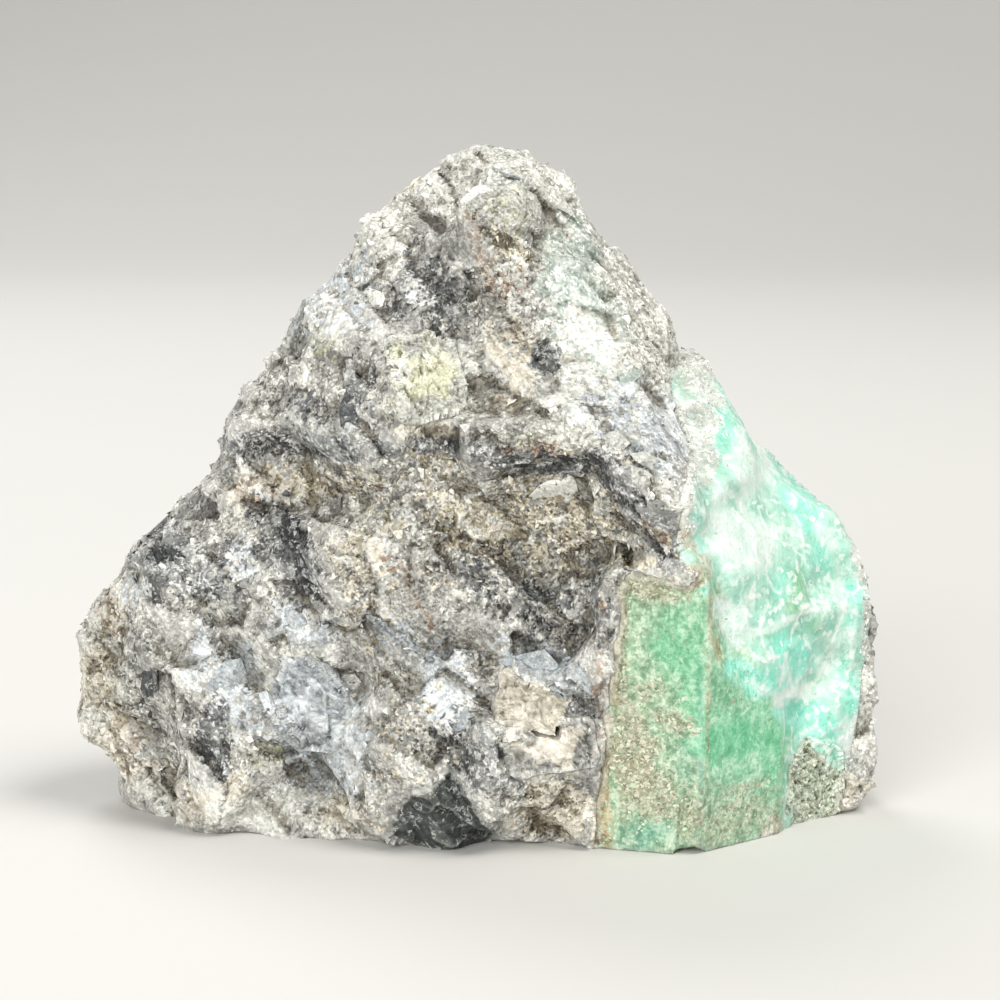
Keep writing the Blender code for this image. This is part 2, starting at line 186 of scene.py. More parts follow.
# moves that bring the worn outline right: x, z, reach across, reach up, move in x, y and z
outlineNudges = [
    (-21.5, 28, 5, 5, 0.45, 0, -0.25), (-27.5, 21, 4, 4, 0.5, 0, -0.3), (6, 51.5, 3, 3, -0.3, 0, -0.5),
    (10.8, 46, 2.6, 3, -0.4, 0, -0.2), (13.6, 39, 2.4, 3.2, 1.3, 0, 0.4),
    (19, 34.5, 2.4, 2.2, -0.7, 0, -0.9), (24.5, 27, 4, 4, -0.4, 0, -0.4), (30, 15.5, 4, 5, 0.95, 0, 0.1),
    (32.3, 3.4, 3, 4.5, -0.9, 0, 0), (33, 0.5, 2.4, 2, -0.9, 0, 0), (-32, 9, 3.5, 4, 0.5, 0, 0),
    (-30, 4, 3, 3, 0.6, 0, 0.2), (-14, 0.6, 9, 2.2, 0, -2.2, -1), (26.5, 0.6, 4.5, 2, 0, 0, -0.8),
    (-15, 2, 6.5, 3, 0, -3.4, 0), (1.8, 25.2, 2.6, 2.8, 0, -1.4, 0), (8.4, 26, 2.2, 2.6, 0, -0.8, 0),
]


def nudged(points):
    moved = points.copy()
    front = fade(0, -5, points[:, 1])
    for x, z, across, up, moveX, moveY, moveZ in outlineNudges:
        pull = np.exp(-((points[:, 0] - x) / across) ** 2 - ((points[:, 2] - z) / up) ** 2)
        moved[:, 0] += moveX * pull
        moved[:, 1] += moveY * pull * front
        moved[:, 2] += moveZ * pull
    moved[:, 2] = np.maximum(moved[:, 2], 0)
    return moved


def treeOf(nodeNames):
    # one search tree over several solids, in millimetres
    ends, faces = [], []
    for name in nodeNames:
        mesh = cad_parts[name].data
        first = len(ends)
        ends += [Vector(p) for p in nudged(pointsOf(mesh))]
        faces += [[int(i) + first for i in face] for face in trianglesOf(mesh)]
    return BVHTree.FromPolygons(ends, faces)


def wayTo(tree, points):
    return np.array([tree.find_nearest(Vector(p))[3] for p in points])


wallReach = 0.55


def coveredBy(tree, points, normals):
    # 1 where a neighbour's wall hides the point
    hidden = np.zeros(len(points))
    for i, (p, n) in enumerate(zip(points, normals)):
        spot, _, _, away = tree.find_nearest(Vector(p), wallReach)
        if spot is not None and (spot - Vector(p)).dot(Vector(n)) > 0.6 * away:
            hidden[i] = 1
    return hidden


# where the minerals lie, and a few bands of painted shadow under ledges, seen from the front: x, z, half
# width, half height, strength, turn in degrees
rockZones = {
    "pale": [
        (2, 50.3, 6, 3.4, 1), (10.6, 44.2, 1.3, 4.2, 1, 23), (13.8, 39.1, 2.2, 3.6, 0.9, 35),
        (17.3, 34.7, 2.2, 3.8, 0.9, 40), (20.9, 31.1, 1.6, 3.6, 0.9, 45), (10.9, 33, 5.7, 6.8, 0.75, 20),
        (14.2, 26.4, 2.2, 3.6, 0.7, 20), (2.4, 44.5, 1.5, 1.9, 0.8), (-16.4, 6.3, 1.5, 1.6, 1),
        (-14.3, 3.1, 2.6, 1.4, 1, -12), (6.2, 27.5, 2.3, 1.8, 0.9, 10), (-25.7, 1.6, 2.6, 1.4, 0.8, -20),
        (-17.5, 1.8, 4, 1.2, 0.8), (-31, 15.4, 1.2, 3, 0.8, -10), (-30.6, 8, 1.4, 3, 0.55),
        (-17, 12, 4.4, 4.4, 0.6), (-9.5, 46, 2.2, 3, 0.7, -30), (-17, 36.5, 2, 3, 0.6, -35),
        (31.3, 7.6, 1.4, 6.6, 0.8, 8), (-28.4, 11.5, 1.6, 4.4, 0.6), (-12.8, 13.2, 3.4, 2.4, 0.6, -20),
    ],
    "beige": [
        (-29.8, 15.8, 2, 2.6, 0.9), (-31.2, 11, 1.8, 5, 1), (-30, 6.5, 2, 3, 1), (-4.5, 34, 3, 3, 0.8),
        (-28, 3.6, 2.6, 2.4, 0.8, -30), (-21, 2.2, 5, 1.6, 0.8, -4), (-11, 2, 5, 1.4, 0.7),
        (2.4, 37, 2, 4, 0.7, 12), (-15, 26.5, 4.5, 1.6, 0.8, 5), (-9.5, 22.5, 2.5, 3, 0.6, 20),
        (-19.5, 3, 2.4, 2, 0.7), (6, 3.2, 3.6, 3, 0.85), (28.8, 2, 1.6, 2.4, 0.8),
        (-1.5, 25.5, 2.8, 1.8, 0.7), (30.4, 1.6, 1.6, 2.2, 0.7),
    ],
    "brown": [
        (4.7, 24.4, 10.4, 5, 0.55, -6), (-11.6, 27.5, 6.2, 2, 0.55, 6), (-28.3, 6.6, 2, 3.4, 0.5),
        (6.2, 2.9, 3.4, 2.9, 0.4), (-5.6, 8.9, 2.2, 6.6, 0.4, 5), (-30.4, 11, 1.6, 3.2, 0.4),
        (1, 46.4, 3.2, 1.6, 0.5, -25), (-8, 18, 2.4, 3.4, 0.4), (15.4, 23.2, 2.8, 0.9, 1, -42),
        # (3, 30.2) is not a mineral but a brown band of painted shadow under the brow
        (3, 30.2, 7.5, 0.9, 0.8, -2), (-1, 20.4, 4, 1.6, 0.5, -10),
    ],
    "dark": [
        # (-13.6, 30.3) is not a mineral but a band of painted shadow under the upper-left ledge
        (-3.6, 42.2, 3, 3.4, 0.75, 10), (5.1, 37.6, 1, 1, 0.8), (-13.6, 30.3, 6.4, 1, 1.2, 4),
        (-14.6, 22.1, 2, 4.1, 0.9, 35), (-24.8, 20.8, 3.2, 2.4, 0.95, -30), (-26.7, 11.4, 1.2, 4, 0.4, 5),
        # (13.6, 24.8) is a band of painted shadow under the brow's right ledge
        (6.2, 18, 5.4, 2.3, 0.65, -10), (9, 19, 1, 3, 0.7), (13.6, 24.8, 3, 1.3, 1.1, -42),
        (0.2, 8.4, 2.2, 2.6, 0.75, 10), (-20.6, 7.6, 1.1, 2.8, 0.9), (-20.5, 19, 2, 1.2, 0.6, -20),
        (7.4, 11.4, 2.6, 1.1, 0.9, -25), (-9, 34.5, 1.4, 3.2, 0.6, 15), (-12.6, 33, 2, 1.2, 0.5),
        # (4, 30) and (11, 28.2) are bands of painted shadow under the brow
        (4, 30, 7.5, 0.8, 1.1, -6), (11, 28.2, 3.8, 1.1, 1.1, -38), (-1.6, 5.4, 1.6, 3.4, 0.5, 10),
        (0, 20.6, 3.6, 1, 0.5, -20), (2.6, 7, 1.3, 2.2, 0.6), (-18.9, 21.2, 1.8, 1.4, 0.55, 20),
    ],
    "rust": [
        (0.2, 45.2, 0.7, 3.7, 0.7, 22), (-4.8, 19, 0.7, 3.5, 0.6, 25), (-29.3, 16, 1.5, 1.9, 0.45),
        (9.3, 12.6, 0.5, 6, 0.5), (4.3, 30.8, 3.3, 0.6, 0.55), (-28, 5.5, 1.4, 1.8, 0.5),
        (-18, 26.4, 1.6, 0.7, 0.5), (-7.6, 27, 0.8, 1.4, 0.5), (2.6, 42.6, 1.2, 1.3, 0.45, 20),
        (14.5, 23.9, 2.8, 0.4, 0.7, -42), (-6, 21.4, 1.6, 0.8, 0.45, -20),
    ],
    "olive": [
        (-3.4, 36.9, 3.2, 2.2, 0.5), (3.2, 31.4, 1.8, 0.9, 0.6), (1.4, 22.6, 2.6, 1.8, 0.45),
        (-8.4, 25.6, 2, 1.6, 0.45), (9.8, 22.6, 2.4, 1.6, 0.45), (2.2, 48.6, 1.4, 1.4, 0.5),
        (-16.6, 6.6, 1.6, 1.6, 0.5), (-12, 38, 1.6, 1.6, 0.45),
    ],
    "blue": [
        (-21.8, 14.1, 1.3, 2.3, 0.9, -20), (-18.7, 11.5, 1.8, 2.9, 0.8), (-12.7, 8.6, 4.6, 4.6, 0.75, 30),
        (-2.8, 12.9, 1.8, 3.1, 0.9, 15), (5, 13.8, 4.2, 1.4, 0.85, -28), (-11.7, 41.3, 3.4, 4.7, 0.5, -35),
        (-10, 30.5, 1.8, 2.2, 0.6), (-18.5, 21.5, 2.2, 1.4, 0.7, 30), (-14, 16.6, 2.6, 2.2, 0.6),
        (14.5, 31.5, 3.4, 2.6, 0.8), (-27, 18.5, 1.2, 2, 0.6, -30), (10.5, 33.5, 3, 2.4, 0.6, -30),
        (-21, 33.5, 2.4, 1.8, 0.6, 30), (-6.8, 16.4, 3, 1.4, 0.6, -35), (-5, 6.5, 2, 2.6, 0.5),
    ],
    "aqua": [
        (8.6, 41.6, 3.3, 8.6, 1, 14), (7.4, 33.6, 1.8, 3, 0.7, 10), (16.7, 35.9, 2.4, 1.7, 0.9, -45),
        (18.6, 31.4, 1.8, 2.4, 0.9, 40), (20.2, 28.7, 1.5, 1.8, 0.9, 40), (12.6, 35, 1.6, 2.4, 0.6, 20),
    ],
}
# elsewhere, scattered cells: size, strength and each mineral's share
sideCells = (5.5, 0.55)
sideShares = {"pale": 0.2, "beige": 0.15, "dark": 0.13, "brown": 0.12, "blue": 0.12, "rust": 0.03}

crystalZones = {
    "rocky": [
        (16, 30.5, 2.4, 4.6, 1, -20), (17.4, 35.6, 2.6, 2, 1, -30), (15, 27, 1.6, 2.4, 1),
        (31.2, 12.5, 0.9, 7, 1, -3), (30.3, 20, 0.7, 2.6, 0.8, 18), (23.4, 30.4, 0.7, 4, 0.5, 48),
    ],
    "milk": [
        (18.9, 24.2, 1.8, 3.2, 1, 20), (21.6, 22.6, 1.8, 2.2, 0.8, 35), (27.8, 12.6, 1.2, 2.6, 0.5, 10),
        (21.6, 28, 1.6, 2.6, 0.9, 40), (19.7, 17.2, 1.3, 2.6, 0.9, 30), (27.3, 3, 1.2, 2.2, 0.8),
        (25.4, 10.6, 2.4, 0.5, 1, -12), (29.4, 4, 1, 3.6, 0.8), (23, 16.6, 3.2, 0.4, 0.9, 12),
        (28, 22, 1.8, 0.8, 0.7, -50), (21.6, 12.2, 1.6, 0.4, 0.7, -40), (28.6, 18.2, 0.6, 2.4, 0.7),
    ],
    "mica": [
        (28.6, 1.8, 1.4, 2.2, 1, -10), (22.7, 0.4, 0.9, 1.4, 0.9),
    ],
    "turquoise": [
        (24.4, 14.2, 2.6, 1.5, 1, -30), (26.2, 8, 2.8, 1.4, 1, -30), (29.6, 17.4, 1.2, 2.2, 0.8),
        (21.6, 12.8, 2.6, 1.4, 1, -30), (25.4, 24.8, 3.4, 0.9, 0.8, -48), (16.6, 23.9, 0.8, 3.4, 1, 10),
        (29.4, 9, 0.8, 2.6, 0.8), (23.5, 19.4, 0.9, 1.2, 0.6), (27, 20.6, 1.2, 1.4, 0.8),
        (18.8, 31.4, 1.4, 1.8, 0.7, 40), (20, 28.8, 0.9, 1.6, 0.7, 40), (24, 9.9, 1.4, 1, 0.9, -30),
        (28.6, 12.6, 0.7, 1.6, 0.6),
    ],
    "leaf": [
        (24.8, 18.4, 1.2, 2.2, 0.9), (15, 16.5, 2.8, 3, 1), (18.9, 12.4, 1.6, 2.8, 1, 18),
        (16.4, 19.6, 1.4, 1.6, 0.7), (16.4, 12.5, 1.2, 2.4, 0.6), (26.4, 16, 0.8, 1.2, 0.5),
    ],
    "mint": [
        (20.6, 9, 3.4, 7.6, 1, 8), (18.6, 14, 1.4, 3, 0.8, 18),
    ],
    "deep": [
        (20.2, 8.4, 3.4, 1.9, 1, -12), (22.6, 6, 1.2, 2.8, 0.8, 10), (18.8, 9.4, 1, 1.8, 0.8),
        (14.6, 15.4, 1.6, 2.2, 0.45, 20), (16.2, 12.4, 0.8, 2.4, 0.4),
    ],
    "teal": [
        (13.1, 1.7, 1.9, 1.3, 0.9, 20), (16.8, 8.2, 0.25, 5.6, 0.9, 2), (15.6, 6.5, 0.7, 2.6, 0.5),
    ],
    "dust": [
        (11.7, 8.4, 1.9, 5.4, 0.9, 4), (13.2, 4.8, 2.4, 2.2, 0.8), (20.1, 2.4, 3.4, 1.8, 0.45),
        (12.6, 20.6, 3, 1.4, 0.8), (10.8, 14, 0.9, 5, 0.8), (16, 3.4, 1.4, 2.2, 0.6),
        (14.4, 10.4, 1.8, 0.8, 0.6, -20), (12.6, 12.6, 1.6, 0.8, 0.6, 10), (20.6, 4.4, 2.4, 0.7, 0.5),
    ],
    "ochre": [
        (16.9, 21.9, 0.9, 1, 0.6), (18.1, 15.9, 0.3, 1.1, 0.7, 20), (10.4, 15.5, 0.3, 6, 0.7, 2),
        (9.6, 5.5, 0.45, 5.6, 0.8, 3), (14.4, 22.3, 2.4, 0.35, 0.6, -8), (15.6, 24.6, 0.35, 1.6, 0.6, 20),
        (17.5, 18.6, 0.2, 2.2, 0.6), (12.3, 6.6, 0.8, 1, 0.4), (17.4, 11, 0.15, 4, 0.5, 1),
    ],
}


rockPatches = (rockZones, 0.8, 1.7, 0.35)
crystalPatches = (crystalZones, 0.9, 1.45, 0.5)


def patchWeights(points, zones, ragged, outer, inner):
    # a patch fades from inner to outer times its half size, in a ragged line
    edge = clouds(points, 2.4, 7) - 0.5 + (clouds(points, 0.9, 2) - 0.5) * 0.6
    weights = {}
    for name, patches in zones.items():
        weight = np.zeros(len(points))
        for x, z, halfWide, halfTall, strength, *turn in patches:
            angle = math.radians(sum(turn))
            c, s = math.cos(angle), math.sin(angle)
            right, up = points[:, 0] - x, points[:, 2] - z
            reach = np.hypot((right * c + up * s) / halfWide, (up * c - right * s) / halfTall)
            weight = np.maximum(weight, strength * fade(outer, inner, reach + edge * ragged))
        weights[name] = weight
    return weights


def rockMinerals(points, normals):
    front = fade(0.5, 0, normals[:, 1])
    weights = patchWeights(points, *rockPatches)
    size, strength = sideCells
    _, _, pick = brokenCells(wobbled(points, 2.6, 1.3), size, shift=5)
    low = 0
    for name, share in sideShares.items():
        here = (pick >= low) & (pick < low + share)
        weights[name] = np.maximum(weights[name] * front, here * (1 - front) * strength)
        low += share
    weights["aqua"] = weights["aqua"] * front
    return weights


# the rock's own skin
rock = {
    "voxel": 0.365,
    "flatten": 0.75,   # of the round humps and dents
    "flattenRounds": (90, 12),
    "offGrains": (0.6, 3),
    "offOutline": (0.25, 0.7),
    "offFoot": (0.5, 2.5),
    "facets": [(4.2, 0.3), (1.9, 0.24), (0.9, 0.1)],   # cell size and gain
    "bevel": 0.04,
    "shardShare": 0.34,   # of the largest cells, how many are one clean shard
    "shardCalm": 0.85,
    "aquaCalm": 0.9,
    "hollowRounds": 30,
}
seamGrowth = 0.45
grainLean = -38
setGrains = [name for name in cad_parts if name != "matrix_rock"]


def facetCells(points, size, shift):
    # long cells that lean down to the right, as the rock splits
    lean = math.radians(grainLean)
    c, s = math.cos(lean), math.sin(lean)
    turned = points @ np.array([[c, 0, -s], [0, 1, 0], [s, 0, c]])
    return brokenCells(wobbled(turned, size * 1.5, size * 0.08), size, (1.25, 1, 0.7), shift)


def facetTones(points):
    # one tone for each large facet and one for each smaller one, added up
    _, _, large = facetCells(points, rock["facets"][0][0], 0)
    _, _, small = facetCells(points, rock["facets"][1][0], 9)
    return 0.45 * large + 0.55 * small


def breakUp(points, normals, facets, bevel, amount, calm=0):
    # calm holds back the smaller facets
    rise = np.zeros(len(points))
    for i, (size, gain) in enumerate(facets):
        height, border, _ = facetCells(points, size, i * 9)
        rise += gain * height * fade(0, bevel * size, border) * (1 - calm * (i > 0))
    return points + normals * (rise * amount)[:, None]


rockPiece = fineCopy("matrix_rock", "rockSkin", rock["voxel"])
skin = rockPiece.data
points, normals = pointsOf(skin), normalsOf(skin)
grainTree = treeOf(setGrains)
# humps and dents are flattened, away from the set grains and the outline
toGrain = wayTo(grainTree, points)
flatten = rock["flatten"] * fade(*rock["offGrains"], toGrain)
flatten = flatten * fade(*rock["offOutline"], np.abs(normals[:, 1]))
flatten *= fade(*rock["offFoot"], points[:, 2])
flat, soft = rock["flattenRounds"]
flatten = relaxed(skin, np.repeat(flatten[:, None], 3, axis=1), soft)
points = points + flatten * (relaxed(skin, points, flat) - points)
setPoints(skin, points)
normals = normalsOf(skin)
walls = coveredBy(grainTree, points, normals)
rockMasks = rockMinerals(points, normals)
aqua = rockMasks["aqua"]
_, shardBorder, shardPick = facetCells(points, rock["facets"][0][0], 0)
shardShare = rock["shardShare"] + 0.35 * rockMasks["blue"] + 0.3 * aqua - 0.3 * rockMasks["brown"]
shard = (shardPick < shardShare) * fade(0.05, 0.3, shardBorder)
calm = np.maximum(rock["shardCalm"] * shard, rock["aquaCalm"] * aqua)
rough = fade(0, 0.7, points[:, 2]) * (1 - walls) * (1 - 0.45 * aqua)
moved = breakUp(points, normals, rock["facets"], rock["bevel"], rough, calm)
setPoints(skin, moved)


def hollowness(mesh, points, wide, near=5):
    # how deep a point lies under the softened surface; negative on edges and tips
    normals = normalsOf(mesh)
    low = [((relaxed(mesh, points, rounds) - points) * normals).sum(axis=1) for rounds in (near, wide)]
    return low[0] * 2 + low[1]


hollow = hollowness(skin, moved, rock["hollowRounds"])
rockMasks.update({"hollow": hollow, "facetTone": facetTones(points)})
shardTone = (shardPick / np.maximum(shardShare, 0.05)) % 1
keepMasks(skin, {**rockMasks, "shard": shard, "shardTone": shardTone})
skin.shade_flat()
print("rock skin:", len(moved), "points")


# the emerald's skin: two clean faces, and the chipped milky part above a break
emerald = {
    "voxel": 0.26,
    "facets": [(4.6, 0.16), (2.1, 0.1), (0.9, 0.03)],
    "bevel": 0.3,
    "striations": 0.06,
    "pits": 0.1,
    "breakLine": (17.4, 22.2, 2.2, 23.6),   # x and z at the left rim, slope, and x where it turns down
    "hollowRounds": 25,
}

emeraldPiece = fineCopy("emerald_crystal", "emeraldSkin", emerald["voxel"])
gem = emeraldPiece.data
gemPoints, gemNormals = pointsOf(gem), normalsOf(gem)
gemWalls = coveredBy(treeOf(["matrix_rock", "mica_clump"]), gemPoints, gemNormals)
gemShown = 1 - gemWalls
gemMasks = patchWeights(gemPoints, *crystalPatches)
x, z = gemPoints[:, 0], gemPoints[:, 2]
breakX, breakZ, slope, breakRight = emerald["breakLine"]
aboveBreak = np.maximum(z - (breakZ - np.maximum(x - breakX, 0) * slope), (x - breakRight) * 2)
broken = fade(-0.6, 1.2, aboveBreak)
# the lip along the rock takes on its dust
lip = relaxed(gem, np.repeat(gemWalls[:, None], 3, axis=1), 3)[:, 0]
lip = fade(0.1, 0.5, lip + 0.3 * (clouds(gemPoints, 0.7, 9) - 0.5)) * (1 - broken)
fine = (clouds(gemPoints * (1, 1, 0.12), 0.5, 1) - 0.5) * emerald["striations"]
fine += (clouds(gemPoints, 0.7, 4) - 0.5) * emerald["pits"]
gemMoved = breakUp(gemPoints, gemNormals, emerald["facets"], emerald["bevel"], broken * gemShown)
gemMoved += gemNormals * (fine * gemShown + seamGrowth * gemWalls)[:, None]
setPoints(gem, gemMoved)
gemHollow = hollowness(gem, gemMoved, emerald["hollowRounds"])
keepMasks(gem, {**gemMasks, "broken": broken, "lip": lip, "hollow": gemHollow})
gem.shade_smooth()
print("emerald skin:", len(gemMoved), "points")


# the larger grains set in the rock: piece, voxel, facets, how far the rock's colours creep in,
# how many small grains lie on the edge, and their mineral
grains = {
    "mica_clump": ("micaClump", 0.16, [(0.9, 0.8), (0.45, 0.8)], 0.5, 1500, "olive"),
    "feldspar_plate_upper": ("feldsparUpper", 0.14, [(2.4, 0.3), (0.9, 0.14)], 1.3, 120, "beige"),
    "smoky_quartz": ("smokyQuartz", 0.16, [(2.6, 0.35), (1, 0.25)], 0.5, 120, "dark"),
    "feldspar_plate_lower": ("feldsparLower", 0.14, [(2.4, 0.3), (0.9, 0.14)], 1.2, 140, "beige"),
    "yellow_feldspar": ("yellowFeldspar", 0.16, [(1.5, 0.5), (0.6, 0.5)], 1.5, 800, "olive"),
    "blue_quartz_shard": ("blueQuartz", 0.16, [(2, 0.5), (0.8, 0.3)], 1.6, 300, "blue"),
}
grainBevel = 0.18
micaTip = (25.2, 7.2)
rockTree = treeOf(["matrix_rock"])
around = {name: rockTree for name in grains}
around["mica_clump"] = treeOf(["emerald_crystal"])
grainPieces, besideTips = {}, {}
for nodeName, (pieceName, voxel, facets, reach, *_) in grains.items():
    piece = fineCopy(nodeName, pieceName, voxel)
    mesh = piece.data
    p, n = pointsOf(mesh), normalsOf(mesh)
    shown = 1 - coveredBy(around[nodeName], p, n)
    beside = np.zeros(len(p))
    if nodeName == "mica_clump":
        # the clump narrows to a tip, and its sides at the tip are emerald
        left = (micaTip[0] - p[:, 0]) - (micaTip[1] - p[:, 2]) * 0.6
        right = (p[:, 0] - micaTip[0]) - (micaTip[1] - p[:, 2]) * 0.9
        beside = fade(0.1, 0.4, np.maximum(left, right) + 0.5 * clouds(p, 0.8) - 0.25)
    p = breakUp(p, n, facets, grainBevel, shown * (1 - beside) * fade(0, 0.5, p[:, 2]))
    # the sides grow past the thin gap into the rock, with a ragged edge
    ragged = 0.5 + 1.3 * clouds(p, 1.1, 6)
    p += n * (seamGrowth * (1 - shown) * ragged)[:, None]
    setPoints(mesh, p)
    # the rim takes on the rock's own colours, in a ragged line
    away = wayTo(rockTree, p)
    away += (clouds(p, 1.3, 8) - 0.5) * reach * 1.6 + (clouds(p, 0.5, 3) - 0.5) * reach * 0.8
    keepMasks(mesh, {"hollow": hollowness(mesh, p, 20), "rim": fade(reach, reach * 0.5, away),
                     "facetTone": facetTones(p), "besideTip": beside})
    besideTips[nodeName] = beside
    mesh.shade_flat()
    grainPieces[nodeName] = piece
    print(pieceName, len(p), "points")


# the crust: thousands of small angular grains, half sunk
# how many, size, thickness against size, how deep they sit, how far they lean off the surface
crust = {
    "crustFine": (10500, (0.28, 0.65), (0.3, 0.7), 0.5, 0.5),
    "crustFlaky": (18500, (0.42, 1.5), (0.16, 0.36), 0.4, 0.32),
    "crustBlocky": (3600, (1, 2.6), (0.22, 0.4), 0.52, 0.14),
    "shardFlakes": (1500, (0.2, 0.6), (0.2, 0.45), 0.5, 0.4),
    "crustSeam": (6500, (0.2, 0.6), (0.3, 0.7), 0.6, 0.22),
    "crustRim": (900, (0.5, 1.3), (0.2, 0.4), 0.6, 0.22),
}
edgeCrust = ((0.22, 0.7), (0.25, 0.6), 0.5, 0.5)   # the same on the larger grains, each with its own count
onShards = 0.2   # share of the grains that stay on the clean shards
seamReach = 1


def hullShapes(count, ends, seed):
    dice = np.random.default_rng(seed)
    shapes = []
    while len(shapes) < count:
        thrown = dice.normal(size=(ends, 3))
        thrown /= np.linalg.norm(thrown, axis=1)[:, None]
        hull = bmesh.new()
        made = [hull.verts.new(p * dice.uniform(0.8, 1)) for p in thrown]
        bmesh.ops.convex_hull(hull, input=made)
        bmesh.ops.triangulate(hull, faces=hull.faces)
        hull.verts.index_update()
        shapes.append((np.array([v.co[:] for v in hull.verts]),
                       np.array([[v.index for v in f.verts] for f in hull.faces])))
        hull.free()
    return shapes


def slabShapes(count, seed):
    # leaning blocks with flat faces, like split feldspar and mica
    dice = np.random.default_rng(seed)
    ends = np.array(list(itertools.product((-1, 1), repeat=3)), dtype=float) * 0.62
    faces = np.array([(0, 1, 3), (0, 3, 2), (4, 6, 7), (4, 7, 5), (0, 4, 5), (0, 5, 1),
                      (2, 3, 7), (2, 7, 6), (0, 2, 6), (0, 6, 4), (1, 5, 7), (1, 7, 3)])
    shapes = []
    for _ in range(count):
        lean = np.eye(3) + dice.uniform(-0.35, 0.35, (3, 3))
        shapes.append((ends @ lean + dice.uniform(-0.12, 0.12, ends.shape), faces))
    return shapes


def lyingTurns(outward, tilt, dice):
    # flat side on the surface, give or take a tilt, mostly along the rock's lean
    up = outward + dice.normal(size=outward.shape) * tilt
    up /= np.linalg.norm(up, axis=1)[:, None]
    lean = math.radians(grainLean)
    aim = dice.normal(size=outward.shape) * 0.6 + (math.cos(lean), 0, math.sin(lean))
    side = aim - up * (aim * up).sum(axis=1)[:, None]
    side /= np.linalg.norm(side, axis=1)[:, None]
    return np.stack([side, np.cross(up, side), up], axis=2)


def scatterOn(mesh, weight, count, dice):
    # random spots, more where weight is high; with the triangle's ends and their shares
    p, faces = pointsOf(mesh), trianglesOf(mesh)
    a, b, c = p[faces[:, 0]], p[faces[:, 1]], p[faces[:, 2]]
    area = np.linalg.norm(np.cross(b - a, c - a), axis=1) * weight[faces].mean(axis=1)
    chosen = dice.choice(len(faces), size=count, p=area / area.sum())
    u, v = dice.random((2, count))
    flip = u + v > 1
    u, v = np.where(flip, 1 - u, u), np.where(flip, 1 - v, v)
    shares = np.stack([1 - u - v, u, v], axis=1)
    ends = faces[chosen]
    spots = (p[ends] * shares[:, :, None]).sum(axis=1)
    outward = (normalsOf(mesh)[ends] * shares[:, :, None]).sum(axis=1)
    return spots, outward / np.linalg.norm(outward, axis=1)[:, None], ends, shares


def heap(name, shapes, spots, turns, scales, dice, masks):
    # one mesh with a shape on each spot; masks holds a value for each
    kind = dice.integers(len(shapes), size=len(spots))
    allPoints, allFaces, owners, first = [], [], [], 0
    for k, (ends, faces) in enumerate(shapes):
        mine = np.flatnonzero(kind == k)
        placed = np.einsum("gij,gkj->gki", turns[mine], ends[None] * scales[mine][:, None, :])
        placed += spots[mine][:, None, :]
        allPoints.append(placed.reshape(-1, 3))
        offsets = first + np.arange(len(mine)) * len(ends)
        allFaces.append((faces[None] + offsets[:, None, None]).reshape(-1, 3))
        owners.append(np.repeat(mine, len(ends)))
        first += len(mine) * len(ends)
    owners = np.concatenate(owners)
    points = np.concatenate(allPoints)
    points[:, 2] = np.maximum(points[:, 2], 0.02)
    piece = meshFrom(name, points, np.concatenate(allFaces).astype(np.int32))
    keepMasks(piece.data, {name: values[owners] for name, values in masks.items()})
    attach(piece, "root")
    return piece


grainShapes = hullShapes(4, 6, 5) + slabShapes(5, 6) + hullShapes(3, 8, 7)
blockShapes = hullShapes(12, 7, 17)


def crustOn(name, look, mesh, weight, weights, seed):
    dice = np.random.default_rng(seed)
    count, (small, big), flatness, sunk, tilt = look
    spots, outward, ends, shares = scatterOn(mesh, weight, count, dice)
    size = small * (big / small) ** (dice.random(count) ** 1.4) * 0.5
    wide, flat = dice.uniform(0.5, 0.9, count), dice.uniform(*flatness, count)
    scales = np.stack([size * 1.2, size * wide, size * flat], axis=1)
    spots = spots - outward * (scales[:, 2] * sunk * 1.6)[:, None]
    turns = lyingTurns(outward, tilt, dice)
    masks = {mask: (values[ends] * shares).sum(axis=1) for mask, values in weights.items()}
    masks["tone"] = dice.random(count)
    masks["kind"] = dice.random(count)
    print(name, count, "grains")
    return heap(name, blockShapes if big > 1 else grainShapes, spots, turns, scales, dice, masks)


bare = (1 - walls) * fade(0.15, 0.85, moved[:, 2])
bare *= 1 - (1 - onShards) * shard
bare *= 1 - 0.75 * aqua
# the large blocks keep off the sharp edges
inside = fade(-0.35, -0.08, hollow) * fade(2, 4, moved[:, 2]) * fade(0.8, 2.4, toGrain)
crustPieces = []
for i, name in enumerate(("crustFine", "crustFlaky", "crustBlocky")):
    weight = bare * (inside if name == "crustBlocky" else 0.2 + 0.8 * inside)
    crustPieces.append(crustOn(name, crust[name], skin, weight, rockMasks, 100 + i))
